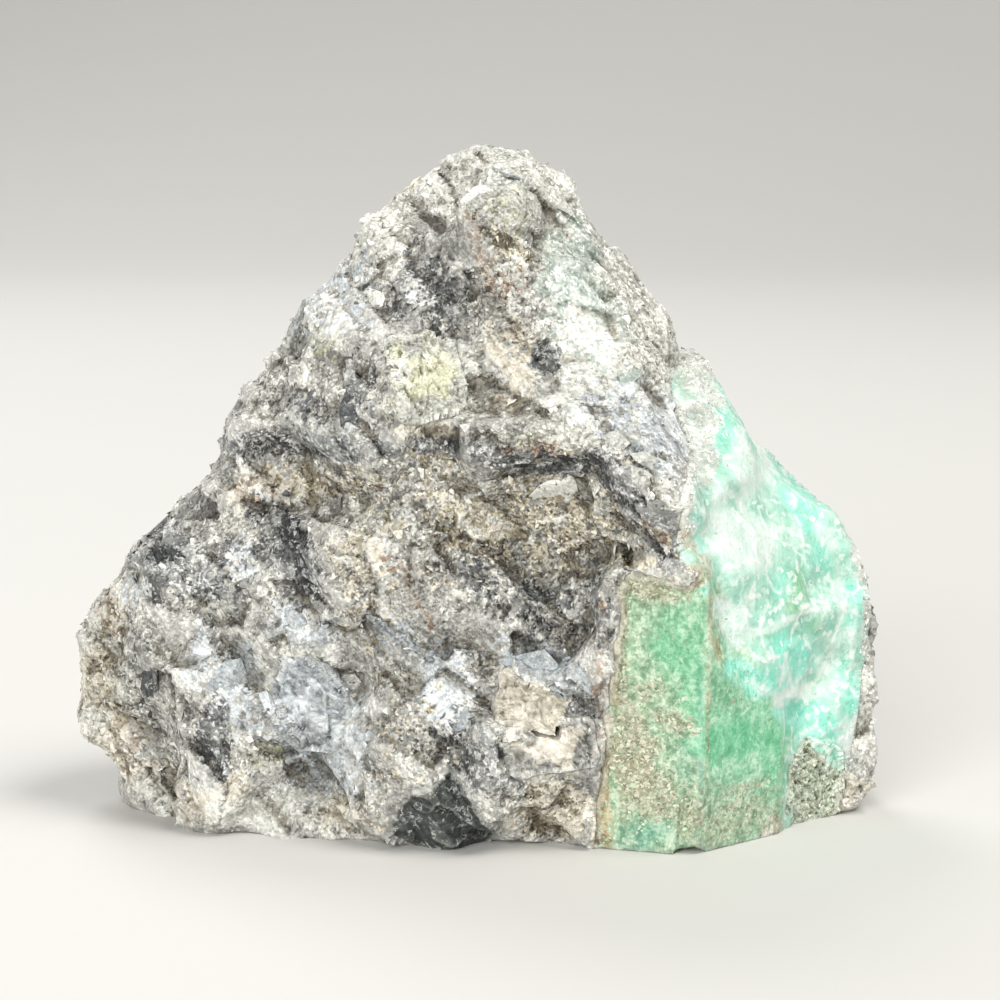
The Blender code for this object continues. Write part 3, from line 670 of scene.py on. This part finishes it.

# larger splinters of clear quartz and feldspar, set into the front at listed spots:
# x, z, half width, half height, turn, mineral, tone
shardList = [
    (-21.5, 14.3, 1, 2.2, -15, "blue", 0.85), (-19.6, 11.6, 1.8, 2.6, 0, "blue", 0.6),
    (-16.1, 10.4, 0.9, 1.9, -15, "blue", 0.9), (-14.2, 7.6, 3.9, 1, -38, "blue", 0.6),
    (-11.1, 7.6, 1.4, 2.5, -10, "blue", 0.65), (-10.2, 11.6, 1.7, 1.3, -30, "grey", 0.6),
    (-14.6, 22.4, 1.4, 3.2, 35, "dark", 0.3), (-12.8, 19.6, 1.1, 1.9, 30, "dark", 0.25),
    (-24.4, 21, 2, 1.4, -30, "dark", 0.4), (-20, 21.2, 1.6, 1.1, 30, "blue", 0.3),
    (-26.2, 12.4, 1, 2.6, 5, "dark", 0.5), (-26.4, 8.9, 0.9, 1.6, 0, "dark", 0.4),
    (-16.9, 5.9, 1.5, 1.5, 0, "pale", 0.6), (-6.8, 16.4, 2.6, 0.9, -35, "blue", 0.3),
    (6.3, 27.3, 2.4, 1.8, 10, "pale", 0.75), (1.2, 24.6, 1.5, 1.2, 0, "beige", 0.6),
    (9.6, 23.8, 1.4, 0.9, -20, "beige", 0.5), (3.4, 21.6, 1.6, 0.9, 15, "olive", 0.5),
    (-3, 12.4, 1.3, 2.6, 12, "blue", 0.65), (-1.4, 9.9, 1.2, 1.6, 10, "blue", 0.4),
    (4.6, 13.9, 3.8, 1.6, -28, "blue", 0.5), (8.3, 11.4, 1.5, 0.8, -20, "dark", 0.3),
    (11.8, 36.2, 1.8, 2.2, 30, "aqua", 0.6), (6.4, 34.6, 2, 0.9, 12, "pale", 0.7),
    (5.1, 37.6, 0.9, 0.9, 0, "dark", 0.3), (-8.5, 41.6, 1.6, 1, -10, "pale", 0.85),
    (-13.7, 36, 1, 1.6, 0, "pale", 0.8), (-9.2, 33.9, 1.9, 2.7, -15, "dark", 0.6),
    (-11.4, 32.6, 1.8, 1.2, 20, "grey", 0.4), (-9.2, 16.2, 1.9, 1, -25, "grey", 0.5),
    (-15, 16.8, 1.7, 1.2, 20, "blue", 0.6), (2, 46.6, 1.5, 0.9, -20, "brown", 0.4),
    (-1.2, 38, 0.9, 1.4, 15, "pale", 0.4), (13, 30.4, 1.6, 1.1, -20, "pale", 0.6),
    (10, 31.4, 1.4, 1, 25, "pale", 0.5), (-6.6, 24.4, 1.5, 0.9, 20, "beige", 0.5),
    (-5, 47.2, 1.8, 1, -20, "grey", 0.6), (3.2, 51, 2.4, 0.7, -32, "blue", 0.5),
    (6.4, 49, 1.8, 0.8, -50, "pale", 0.6), (0.4, 49.6, 1.6, 0.8, 35, "pale", 0.4),
]
shards = {"thick": 0.42, "sunk": 0.4, "tilt": 0.2}
skinTree = BVHTree.FromPolygons([Vector(p) for p in moved], [[int(i) for i in f] for f in trianglesOf(skin)])


def facingTurns(outward, turns):
    # lays a shape flat on the surface and turns it as seen from the front
    side = np.cross([0, 0, 1], outward)
    side /= np.linalg.norm(side, axis=1)[:, None]
    up = np.cross(outward, side)
    c, s = np.cos(np.radians(turns))[:, None], np.sin(np.radians(turns))[:, None]
    across = side * c + up * s
    return np.stack([across, np.cross(outward, across), outward], axis=2)


dice = np.random.default_rng(150)
spots, outward = [], []
for x0, z0, *_ in shardList:
    spot, facing, _, _ = skinTree.ray_cast(Vector((x0, -30, z0)), Vector((0, 1, 0)))
    near = [n for _, n, _, _ in skinTree.find_nearest_range(spot, 1.5)]
    facing = sum(near, Vector()).normalized()
    spots.append(spot[:])
    outward.append((facing + Vector(dice.normal(size=3) * shards["tilt"])).normalized()[:])
spots, outward = np.array(spots), np.array(outward)
halfWide, halfTall, turn, tone = [np.array([row[k] for row in shardList]) for k in (2, 3, 4, 6)]
scales = np.stack([halfWide, halfTall, np.minimum(halfWide, halfTall) * shards["thick"]], axis=1) * 1.15
spots -= outward * (scales[:, 2] * shards["sunk"])[:, None]
masks = {zone: np.array([1.5 * (row[5] == zone) for row in shardList]) for zone in rockZones}
masks.update({"hollow": 0 * tone, "facetTone": tone, "tone": tone, "kind": 0.5 + 0 * tone})
shardPiece = heap("setShards", hullShapes(9, 11, 21), spots, facingTurns(outward, turn), scales, dice, masks)
shardMesh = shardPiece.data
onShard = pointsOf(shardMesh)
shardWeights = patchWeights(onShard, *rockPatches)
shardWeights.update({"hollow": np.zeros(len(onShard)), "facetTone": facetTones(onShard)})
facingFront = fade(0.4, -0.4, normalsOf(shardMesh)[:, 1])
crustPieces.append(crustOn("shardFlakes", crust["shardFlakes"], shardMesh, facingFront, shardWeights, 120))
print("shards set:", len(shardList))

# pale grains spill over the seam onto the emerald, but not onto its clean faces
nearRock = wayTo(rockTree, gemPoints)
offFloor = fade(0.3, 1, gemMoved[:, 2])
spill = fade(seamReach, 0.2, nearRock) * gemShown * offFloor
spill *= 0.12 + 0.35 * broken * (x < 21) + 0.8 * fade(0.6, 0.35, nearRock)
spill += 1.4 * gemMasks["rocky"] * gemShown * offFloor
clean = 1 - broken
spillWeights = {name: 0 * clean for name in (*rockZones, "hollow")}
spillWeights.update({"pale": 1.2 * broken, "aqua": 0.9 * broken * (x < 25), "beige": 0.8 * clean,
                     "brown": 0.5 * clean, "rust": 0.25 * clean,
                     "facetTone": 0.35 + 0.45 * broken + 0.4 * facetTones(gemPoints)})
for name, weight in (("crustSeam", spill), ("crustRim", gemMasks["rocky"] * gemShown)):
    crustPieces.append(crustOn(name, crust[name], gem, weight, spillWeights, 144))

# and over the edges of the larger grains
for i, (nodeName, (pieceName, *_, count, zone)) in enumerate(grains.items()):
    mesh = grainPieces[nodeName].data
    p, n = pointsOf(mesh), normalsOf(mesh)
    away = wayTo(around[nodeName], p)
    weight = fade(0.05, 0.3, p[:, 2]) * (1 - coveredBy(around[nodeName], p, n))
    weight = weight * (fade(1.4, 0.3, away) + (0.8 if zone == "olive" else 0.04))
    weight = weight * (1 - besideTips[nodeName])
    weights = {name: np.full(len(p), 0.7 if name == zone else 0.3 * (name == "beige")) for name in rockZones}
    weights.update({"hollow": np.zeros(len(p)), "facetTone": facetTones(p)})
    edgeName = "edge" + pieceName[0].upper() + pieceName[1:]
    crustPieces.append(crustOn(edgeName, (count, *edgeCrust), mesh, weight, weights, 170 + i))


# mica dust on the emerald's clean faces
dust = {"count": 2600, "size": (0.16, 0.6), "thick": 0.08, "tilt": 0.06}
dice = np.random.default_rng(160)
dustWeight = (0.02 + gemMasks["dust"] + 0.3 * gemMasks["ochre"]) * clean * gemShown
dustWeight *= (1 - 0.8 * gemMasks["deep"]) * fade(0.1, 0.4, gemMoved[:, 2])
dustWeight *= fade(0.1, -0.3, gemNormals[:, 1])
spots, outward, ends, shares = scatterOn(gem, dustWeight, dust["count"], dice)
size = dice.uniform(*dust["size"], dust["count"]) * 0.5
scales = np.stack([size * 1.3, size, size * dust["thick"]], axis=1)
dustMasks = {"tone": dice.random(dust["count"]), "kind": dice.random(dust["count"]),
             "dust": (gemMasks["dust"][ends] * shares).sum(axis=1)}
turns = lyingTurns(outward, dust["tilt"], dice)
dustPiece = heap("faceDust", hullShapes(6, 6, 9), spots, turns, scales, dice, dustMasks)
print("face dust", dust["count"], "flakes")


def colour(r, g, b):
    # a screen value, 0 to 255, turned into light
    shares = [v / 255 for v in (r, g, b)]
    return (*(v / 12.92 if v < 0.0404 else ((v + 0.055) / 1.055) ** 2.4 for v in shares), 1)


tree = None   # the node tree that is being filled


def node(kind, inputs=(), **settings):
    made = tree.nodes.new("ShaderNode" + kind)
    for key, value in settings.items():
        setattr(made, key, value)
    for key, value in dict(inputs).items():
        if isinstance(value, bpy.types.NodeSocket):
            tree.links.new(value, made.inputs[key])
        else:
            made.inputs[key].default_value = value
    return made


def maths(operation, a, b=0, c=0):
    return node("Math", {0: a, 1: b, 2: c}, operation=operation).outputs[0]


def times(a, b):
    return maths("MULTIPLY", a, b)


def timesPlus(a, b, c):
    return maths("MULTIPLY_ADD", a, b, c)


def summed(*parts, start=None):
    # adds up values, each with its own gain
    for value, gain in parts:
        start = times(value, gain) if start is None else timesPlus(value, gain, start)
    return start


def vectors(operation, a, b):
    made = node("VectorMath", {0: a, "Scale" if operation == "SCALE" else 1: b}, operation=operation)
    return made.outputs["Value" if operation == "DOT_PRODUCT" else 0]


def noiseAt(place, scale, detail, roughness=0.5):
    inputs = {"Vector": place, "Scale": scale, "Detail": detail, "Roughness": roughness}
    return node("TexNoise", inputs).outputs


def spread(value, low, high, newLow=0, newHigh=1):
    inputs = {"Value": value, "From Min": low, "From Max": high, "To Min": newLow, "To Max": newHigh}
    return node("MapRange", inputs, clamp=True).outputs["Result"]


def mixed(amount, a, b, blend="MIX"):
    return node("Mix", {0: amount, 6: a, 7: b}, data_type="RGBA", blend_type=blend).outputs[2]


def ramp(value, shades):
    made = node("ValToRGB", {"Fac": value})
    band = made.color_ramp
    while len(band.elements) < len(shades):
        band.elements.new(0.5)
    for i, shade in enumerate(shades):
        band.elements[i].position = i / (len(shades) - 1)
        band.elements[i].color = colour(*shade)
    return made.outputs["Color"]


def mask(name):
    return node("Attribute", attribute_name=name).outputs["Fac"]


def split(value):
    return node("SeparateColor", {"Color": value}).outputs


def pushed(wobbleSize, wobble):
    # coordinates in millimetres, pushed about a little
    place = vectors("SCALE", node("TexCoord").outputs["Object"], 1 / mm)
    noise = noiseAt(place, 1 / wobbleSize, 1)["Color"]
    return vectors("ADD", place, vectors("SCALE", centred(noise), wobble * 2))


def centred(value):
    return vectors("SUBTRACT", value, (0.5, 0.5, 0.5))


def mosaic(place, size):
    # one random colour and one flat tilted height for each small crystal
    cell = node("TexVoronoi", {"Vector": place, "Scale": 1 / size}).outputs
    gap = vectors("SUBTRACT", place, cell["Position"])
    return split(cell["Color"]), vectors("DOT_PRODUCT", gap, centred(cell["Color"]))


def startMaterial(name):
    global tree
    material = bpy.data.materials.new(name)
    material.use_nodes = True
    tree = material.node_tree
    tree.nodes.clear()
    return material


def finished(inputs, height=None):
    if height is not None:
        inputs["Normal"] = node("Bump", {"Height": height, "Strength": 1, "Distance": mm}).outputs[0]
    node("OutputMaterial", {"Surface": node("BsdfPrincipled", inputs).outputs[0]})


# dark to light for each mineral; later ones lie over earlier ones
shades = {
    "grey": [(60, 60, 58), (110, 110, 106), (151, 150, 145), (188, 187, 181), (244, 243, 237)],
    "aqua": [(112, 122, 116), (138, 149, 142), (158, 169, 162), (178, 188, 181), (222, 228, 221)],
    "beige": [(86, 80, 68), (146, 139, 124), (192, 185, 169), (220, 214, 200), (248, 245, 235)],
    "pale": [(96, 97, 92), (150, 151, 144), (187, 187, 180), (213, 213, 206), (248, 248, 243)],
    "blue": [(88, 93, 97), (136, 142, 146), (174, 180, 184), (205, 210, 213), (245, 248, 249)],
    "olive": [(84, 85, 68), (132, 132, 111), (172, 172, 149), (204, 204, 183), (243, 243, 231)],
    "brown": [(36, 32, 25), (84, 76, 60), (140, 131, 109), (200, 191, 168), (245, 240, 223)],
    "dark": [(24, 25, 26), (46, 48, 49), (76, 78, 79), (124, 126, 127), (223, 225, 225)],
    "rust": [(56, 44, 35), (92, 75, 61), (128, 110, 94), (170, 154, 137), (228, 220, 206)],
}


def mineralColour(tone, scatter):
    # a mask picks its mineral grain by grain
    result = ramp(tone, shades["grey"])
    for name in list(shades)[1:]:
        chosen = spread(timesPlus(scatter, 0.7, mask(name)), 0.78, 0.9)
        result = mixed(chosen, result, ramp(tone, shades[name]))
    return result


def hollowShadeAndDirt(shade, shadeAndDirtColour=(124, 114, 96), amount=0.76):
    # dirt and painted shade in the hollows, and paler sharp edges and tips
    depth = mask("hollow")
    low, high = spread(depth, 0.03, 0.36, 0, amount), spread(depth, -0.04, -0.4, 0, 0.2)
    return mixed(high, mixed(low, shade, colour(*shadeAndDirtColour), "MULTIPLY"), colour(241, 241, 236))


def feathers(place, size, width, gain):
    # thin broken lines, where the rock split and bruised
    noise = noiseAt(place, 1 / size, 4, 0.6)
    line = spread(maths("ABSOLUTE", maths("SUBTRACT", noise["Fac"], 0.5)), width, 0)
    return times(times(line, spread(split(noise["Color"])[1], 0.48, 0.6)), gain)


def streaks(place, size):
    # thin pale threads along the rock's lean
    inputs = {"Vector": place, "Axis": (0.2, 1, 0.1), "Angle": math.radians(-grainLean)}
    pulled = vectors("MULTIPLY", node("VectorRotate", inputs).outputs[0], (1, 1, 0.16))
    return spread(noiseAt(pulled, 1 / size, 3, 0.6)["Fac"], 0.46, 0.68)


# bump of the small and of the coarse crystals, and the lowest and highest roughness
rockKinds = {"skin": (0.6, 0.3, 0.3, 0.7), "grains": (0.3, 0.1, 0.3, 0.7), "shards": (0.25, 0.1, 0.15, 0.45)}


def rockMaterial(name, kind):
    material = startMaterial(name)
    smallBump, coarseBump, roughLow, roughHigh = rockKinds[kind]
    place = pushed(0.9, 0.12)
    coarse, coarseRise = mosaic(place, 0.55)
    small, smallRise = mosaic(place, 0.2)
    thread = streaks(place, 0.35)
    facet = mask("facetTone")
    if kind == "skin":
        tone = summed((facet, 0.38), (small[0], 0.38), (coarse[0], 0.24))
        scatter = coarse[1]
        glassy = summed((mask("shardTone"), 0.46), (thread, 0.22), (small[0], 0.18), start=0.14)
        clean = times(mask("shard"), 0.75)
        tone = node("Mix", {0: clean, 2: tone, 3: glassy}).outputs[0]
    else:
        ownGain, facetGain = (0.48, 0.26) if kind == "grains" else (0.5, 0.1)
        tone = summed((facet, facetGain), (mask("tone"), ownGain), (small[0], 0.16), (thread, 0.12))
        scatter = mask("kind")
    shade = mineralColour(spread(tone, 0.18, 0.78), scatter)
    shade = mixed(feathers(place, 1.1, 0.035, 0.6), shade, colour(242, 242, 237))
    shade = mixed(feathers(place, 0.8, 0.028, 0.55), shade, colour(96, 92, 84), "MULTIPLY")
    if kind == "skin":
        # painted shade: the skin between the crust grains is darkened where shade falls in the crevices
        shade = mixed(spread(clean, 0, 0.6, 0.3, 0), shade, colour(176, 171, 158), "MULTIPLY")
    height = summed((smallRise, smallBump), (coarseRise, coarseBump))
    rough = spread(small[2], 0, 1, roughLow, roughHigh)
    # the hollows get dirt and painted shade, the sharp edges a paler tone
    finished({"Base Color": hollowShadeAndDirt(shade), "Roughness": rough, "IOR": 1.52}, height)
    return material


def dress(piece, material):
    piece.data.materials.clear()
    piece.data.materials.append(material)


dress(rockPiece, rockMaterial("mixedRock", "skin"))
dress(shardPiece, rockMaterial("quartzShards", "shards"))
crustMaterial = rockMaterial("looseGrains", "grains")
for piece in crustPieces:
    dress(piece, crustMaterial)


def emeraldMaterial():
    material = startMaterial("emeraldBeryl")
    place = pushed(1.2, 0.3)
    broken = mask("broken")
    cloud = noiseAt(place, 0.36, 3, 0.55)["Fac"]
    fuzz = noiseAt(place, 2.6, 5, 0.7)
    grain, patch = fuzz["Fac"], split(fuzz["Color"])[1]
    flake, _ = mosaic(place, 1.3)
    chip, _ = mosaic(place, 0.42)
    blotch = noiseAt(place, 1, 4, 0.65)["Fac"]
    fibre = noiseAt(vectors("MULTIPLY", place, (1, 1, 0.1)), 3.2, 3, 0.6)["Fac"]
    # grainy and finely striped on the clean faces, cloudy in the broken part
    grainy = spread(summed((blotch, 0.4), (grain, 0.45), (fibre, 0.15)), 0.43, 0.57)
    cloudy = spread(summed((cloud, 0.6), (blotch, 0.4)), 0.38, 0.62, 0, 0.65)
    cloudy = timesPlus(flake[0], 0.35, cloudy)
    tone = node("Mix", {0: broken, 2: grainy, 3: cloudy}).outputs[0]
    shade = ramp(tone, [(116, 150, 120), (150, 182, 150), (180, 206, 176), (220, 232, 210)])
    brokenShade = ramp(tone, [(138, 203, 182), (160, 215, 196), (181, 225, 208), (209, 236, 224)])
    shade = mixed(broken, shade, brokenShade)
    scatter = spread(patch, 0.32, 0.68)
    layers = [
        ("mint", 0.4, 0.9, [(130, 198, 160), (155, 217, 180), (178, 230, 199), (211, 243, 221)]),
        ("leaf", 0.4, 0.9, [(106, 170, 128), (130, 190, 150), (155, 206, 170), (190, 224, 194)]),
        ("turquoise", 0.25, 0.9, [(122, 220, 194), (146, 232, 211), (170, 241, 224), (208, 249, 238)]),
        ("teal", 0.4, 0.9, [(92, 152, 128), (112, 170, 146), (136, 188, 162), (174, 210, 186)]),
        ("deep", 0.4, 1, [(92, 182, 135), (108, 196, 149), (129, 209, 164), (163, 222, 186)]),
        ("milk", 0.35, 0.7, [(202, 232, 219), (216, 238, 228), (231, 244, 238), (249, 252, 250)]),
        ("rocky", 0.5, 0.4, [(170, 182, 172), (196, 205, 196), (218, 224, 215), (244, 247, 241)]),
        ("mica", 0.5, 0.4, shades["olive"][1:]),
        ("lip", 0.4, 0.5, [(112, 104, 84), (158, 150, 126), (190, 182, 158), (222, 216, 198)]),
        ("dust", 0.9, 0.6, [(116, 122, 98), (152, 156, 129), (185, 187, 159), (228, 226, 206)]),
        ("ochre", 0.7, 0.6, [(146, 128, 94), (174, 156, 118), (196, 180, 142), (222, 211, 178)]),
    ]
    for name, rough, soft, bands in layers:
        # rough breaks the patch's edge into grains, soft blurs it
        chosen, middle = timesPlus(scatter, rough, mask(name)), 0.5 + rough * 0.5
        chosen = spread(chosen, middle - soft * 0.5, middle + soft * 0.5)
        shade = mixed(chosen, shade, ramp(tone, bands))
    # small white chips all over the milky part
    chips = times(spread(chip[1], 0.86, 0.92, 0, 0.7), broken)
    shade = mixed(chips, shade, colour(240, 248, 243))
    # healed cracks run white between the mint patches
    crack = node("TexVoronoi", {"Vector": place, "Scale": 0.27}, feature="DISTANCE_TO_EDGE").outputs[0]
    healed = times(spread(crack, 0.07, 0.01, 0, 0.85), spread(blotch, 0.42, 0.56))
    shade = mixed(times(healed, broken), shade, colour(247, 251, 248))
    shade = mixed(feathers(place, 2.4, 0.05, times(broken, 0.7)), shade, colour(242, 249, 244))
    # painted shade in the crystal's hollows, a mint darkening, and paler sharp edges
    shade = hollowShadeAndDirt(shade, (178, 222, 196), 0.25)
    rough = spread(grain, 0.35, 0.65, 0.3, 0.6)
    inputs = {"Base Color": shade, "Roughness": rough, "IOR": 1.58, "Transmission Weight": 0.1,
              "Subsurface Weight": 0.35, "Subsurface Radius": (1, 1.4, 1.2), "Subsurface Scale": 0.8 * mm}
    finished(inputs, summed((grain, 0.2), (fibre, 0.06)))
    return material


dress(emeraldPiece, emeraldMaterial())


def dustMaterial():
    material = startMaterial("faceDustFlakes")
    tone = mask("tone")
    green = ramp(tone, [(128, 158, 128), (148, 178, 146), (166, 194, 160), (198, 214, 188)])
    tan = ramp(tone, [(124, 124, 100), (154, 153, 128), (178, 177, 152), (208, 207, 188)])
    chosen = timesPlus(mask("dust"), 0.7, mask("kind"))
    shade = mixed(spread(chosen, 0.6, 0.8), green, tan)
    finished({"Base Color": shade, "Roughness": 0.4, "IOR": 1.58})
    return material


dress(dustPiece, dustMaterial())


def grainMaterial(name, cellSize, roughLow, roughHigh, bumpGain, rim, bands):
    material = startMaterial(name)
    place = pushed(0.8, 0.15)
    coarse, coarseRise = mosaic(place, cellSize)
    small, smallRise = mosaic(place, cellSize * 0.4)
    tone = summed((coarse[0], 0.22), (small[0], 0.26), (mask("facetTone"), 0.3), (streaks(place, 0.3), 0.22))
    tone = spread(tone, 0.16, 0.84)
    shade = mixed(mask("rim"), ramp(tone, bands), ramp(tone, shades[rim]))
    # pale threads, then dirt and painted shade in the hollows and paler sharp edges
    shade = hollowShadeAndDirt(mixed(feathers(place, 1.1, 0.03, 0.55), shade, colour(240, 239, 232)))
    if name == "oliveMica":
        milky = ramp(coarse[1], [(150, 218, 194), (178, 228, 208), (206, 238, 224), (232, 245, 236)])
        shade = mixed(mask("besideTip"), shade, milky)
    height = times(timesPlus(smallRise, 0.8, coarseRise), bumpGain)
    rough = spread(small[2], 0, 1, roughLow, roughHigh)
    finished({"Base Color": shade, "Roughness": rough, "IOR": 1.53}, height)
    return material


# node: material, slot, size of its crystals, roughness low and high, bump, the rim's mineral, dark to light
grainFinishes = {
    "mica_clump": (
        "oliveMica", "olive_mica", 0.4, 0.25, 0.6, 0.7, "olive",
        [(94, 101, 85), (145, 154, 136), (184, 195, 175), (212, 222, 205), (245, 248, 240)]),
    "smoky_quartz": (
        "smokyGlass", "smoky_quartz", 0.9, 0.15, 0.42, 0.15, "grey",
        [(36, 40, 39), (43, 47, 46), (52, 57, 55), (66, 71, 69), (116, 121, 118)]),
    "feldspar_plate_upper": (
        "feldsparUpperFace", "cream_feldspar", 0.7, 0.35, 0.65, 0.2, "beige",
        [(132, 125, 112), (174, 167, 153), (202, 195, 182), (220, 215, 204), (247, 244, 236)]),
    "feldspar_plate_lower": (
        "feldsparLowerFace", "cream_feldspar", 0.7, 0.35, 0.65, 0.2, "grey",
        [(140, 133, 120), (182, 175, 162), (208, 202, 190), (225, 220, 210), (249, 246, 239)]),
    "yellow_feldspar": (
        "yellowFeldsparGrain", "yellow_feldspar", 0.5, 0.35, 0.7, 0.3, "pale",
        [(138, 138, 118), (176, 176, 152), (199, 199, 172), (217, 217, 194), (244, 244, 232)]),
    "blue_quartz_shard": (
        "blueQuartzGlass", "blue_grey_quartz", 0.9, 0.15, 0.5, 0.15, "blue",
        [(112, 116, 118), (142, 147, 150), (168, 173, 176), (194, 199, 201), (238, 241, 241)]),
}
for nodeName, (name, slotName, *finish) in grainFinishes.items():
    dress(grainPieces[nodeName], grainMaterial(name, *finish))
print("materials made")


# floor, light and camera
studio = {
    "floorHalf": 2,
    "floorShade": (196, 195, 192),
    "lookAt": (1.61, 0, 24.92),
    "distance": 260,
    "elevation": 9,
    "lens": 117,
    "roomLight": 0.44,
}
target = Vector(studio["lookAt"]) * mm
# a sheet of pale card that rises behind the object
half = studio["floorHalf"]
bend = [(0.5 + 0.5 * math.sin(a), 0.5 - 0.5 * math.cos(a)) for a in np.linspace(0.1, math.pi / 2, 14)]
profile = [(-half, 0), (0.5, 0), *bend, (1, half)]
cardPoints = [(side, y, z) for y, z in profile for side in (-half, half)]
cardFaces = [(i, i + 1, i + 3, i + 2) for i in range(0, len(cardPoints) - 2, 2)]
floorMesh = bpy.data.meshes.new("floor")
floorMesh.from_pydata(cardPoints, [], cardFaces, shade_flat=False)
floor = intoScene("floor", floorMesh)
floorMaterial = startMaterial("paleFloor")
finished({"Base Color": colour(*studio["floorShade"]), "Roughness": 0.7})
floorMesh.materials.append(floorMaterial)


def softLight(name, place, size, power, shade=(255, 255, 255)):
    lamp = bpy.data.lights.new(name, "AREA")
    lamp.shape = "DISK"
    lamp.size = size * mm
    lamp.energy = power
    lamp.color = colour(*shade)[:3]
    holder = intoScene(name, lamp)
    holder.location = Vector(place) * mm
    holder.rotation_euler = (target - holder.location).to_track_quat("-Z", "Y").to_euler()


softLight("skyKey", (374, -154, 726), 420, 5.6, (255, 253, 247))
softLight("frontFill", (-352, -836, 374), 620, 9.2, (255, 254, 250))
softLight("backRim", (-192, 416, 448), 320, 1.8)

world = bpy.data.worlds.new("paleRoom")
world.use_nodes = True
background = world.node_tree.nodes["Background"].inputs
background["Color"].default_value = colour(240, 241, 241)
background["Strength"].default_value = studio["roomLight"]
bpy.context.scene.world = world

lens = bpy.data.cameras.new("camera")
lens.lens = studio["lens"]
lens.sensor_width = 36
lens.clip_start = 0.01
camera = intoScene("camera", lens)
tilt = math.radians(studio["elevation"])
camera.location = target + Vector((0, -math.cos(tilt), math.sin(tilt))) * studio["distance"] * mm
camera.rotation_euler = (target - camera.location).to_track_quat("-Z", "Y").to_euler()
bpy.context.scene.camera = camera
bpy.context.scene.view_settings.view_transform = "Standard"
print("studio set")
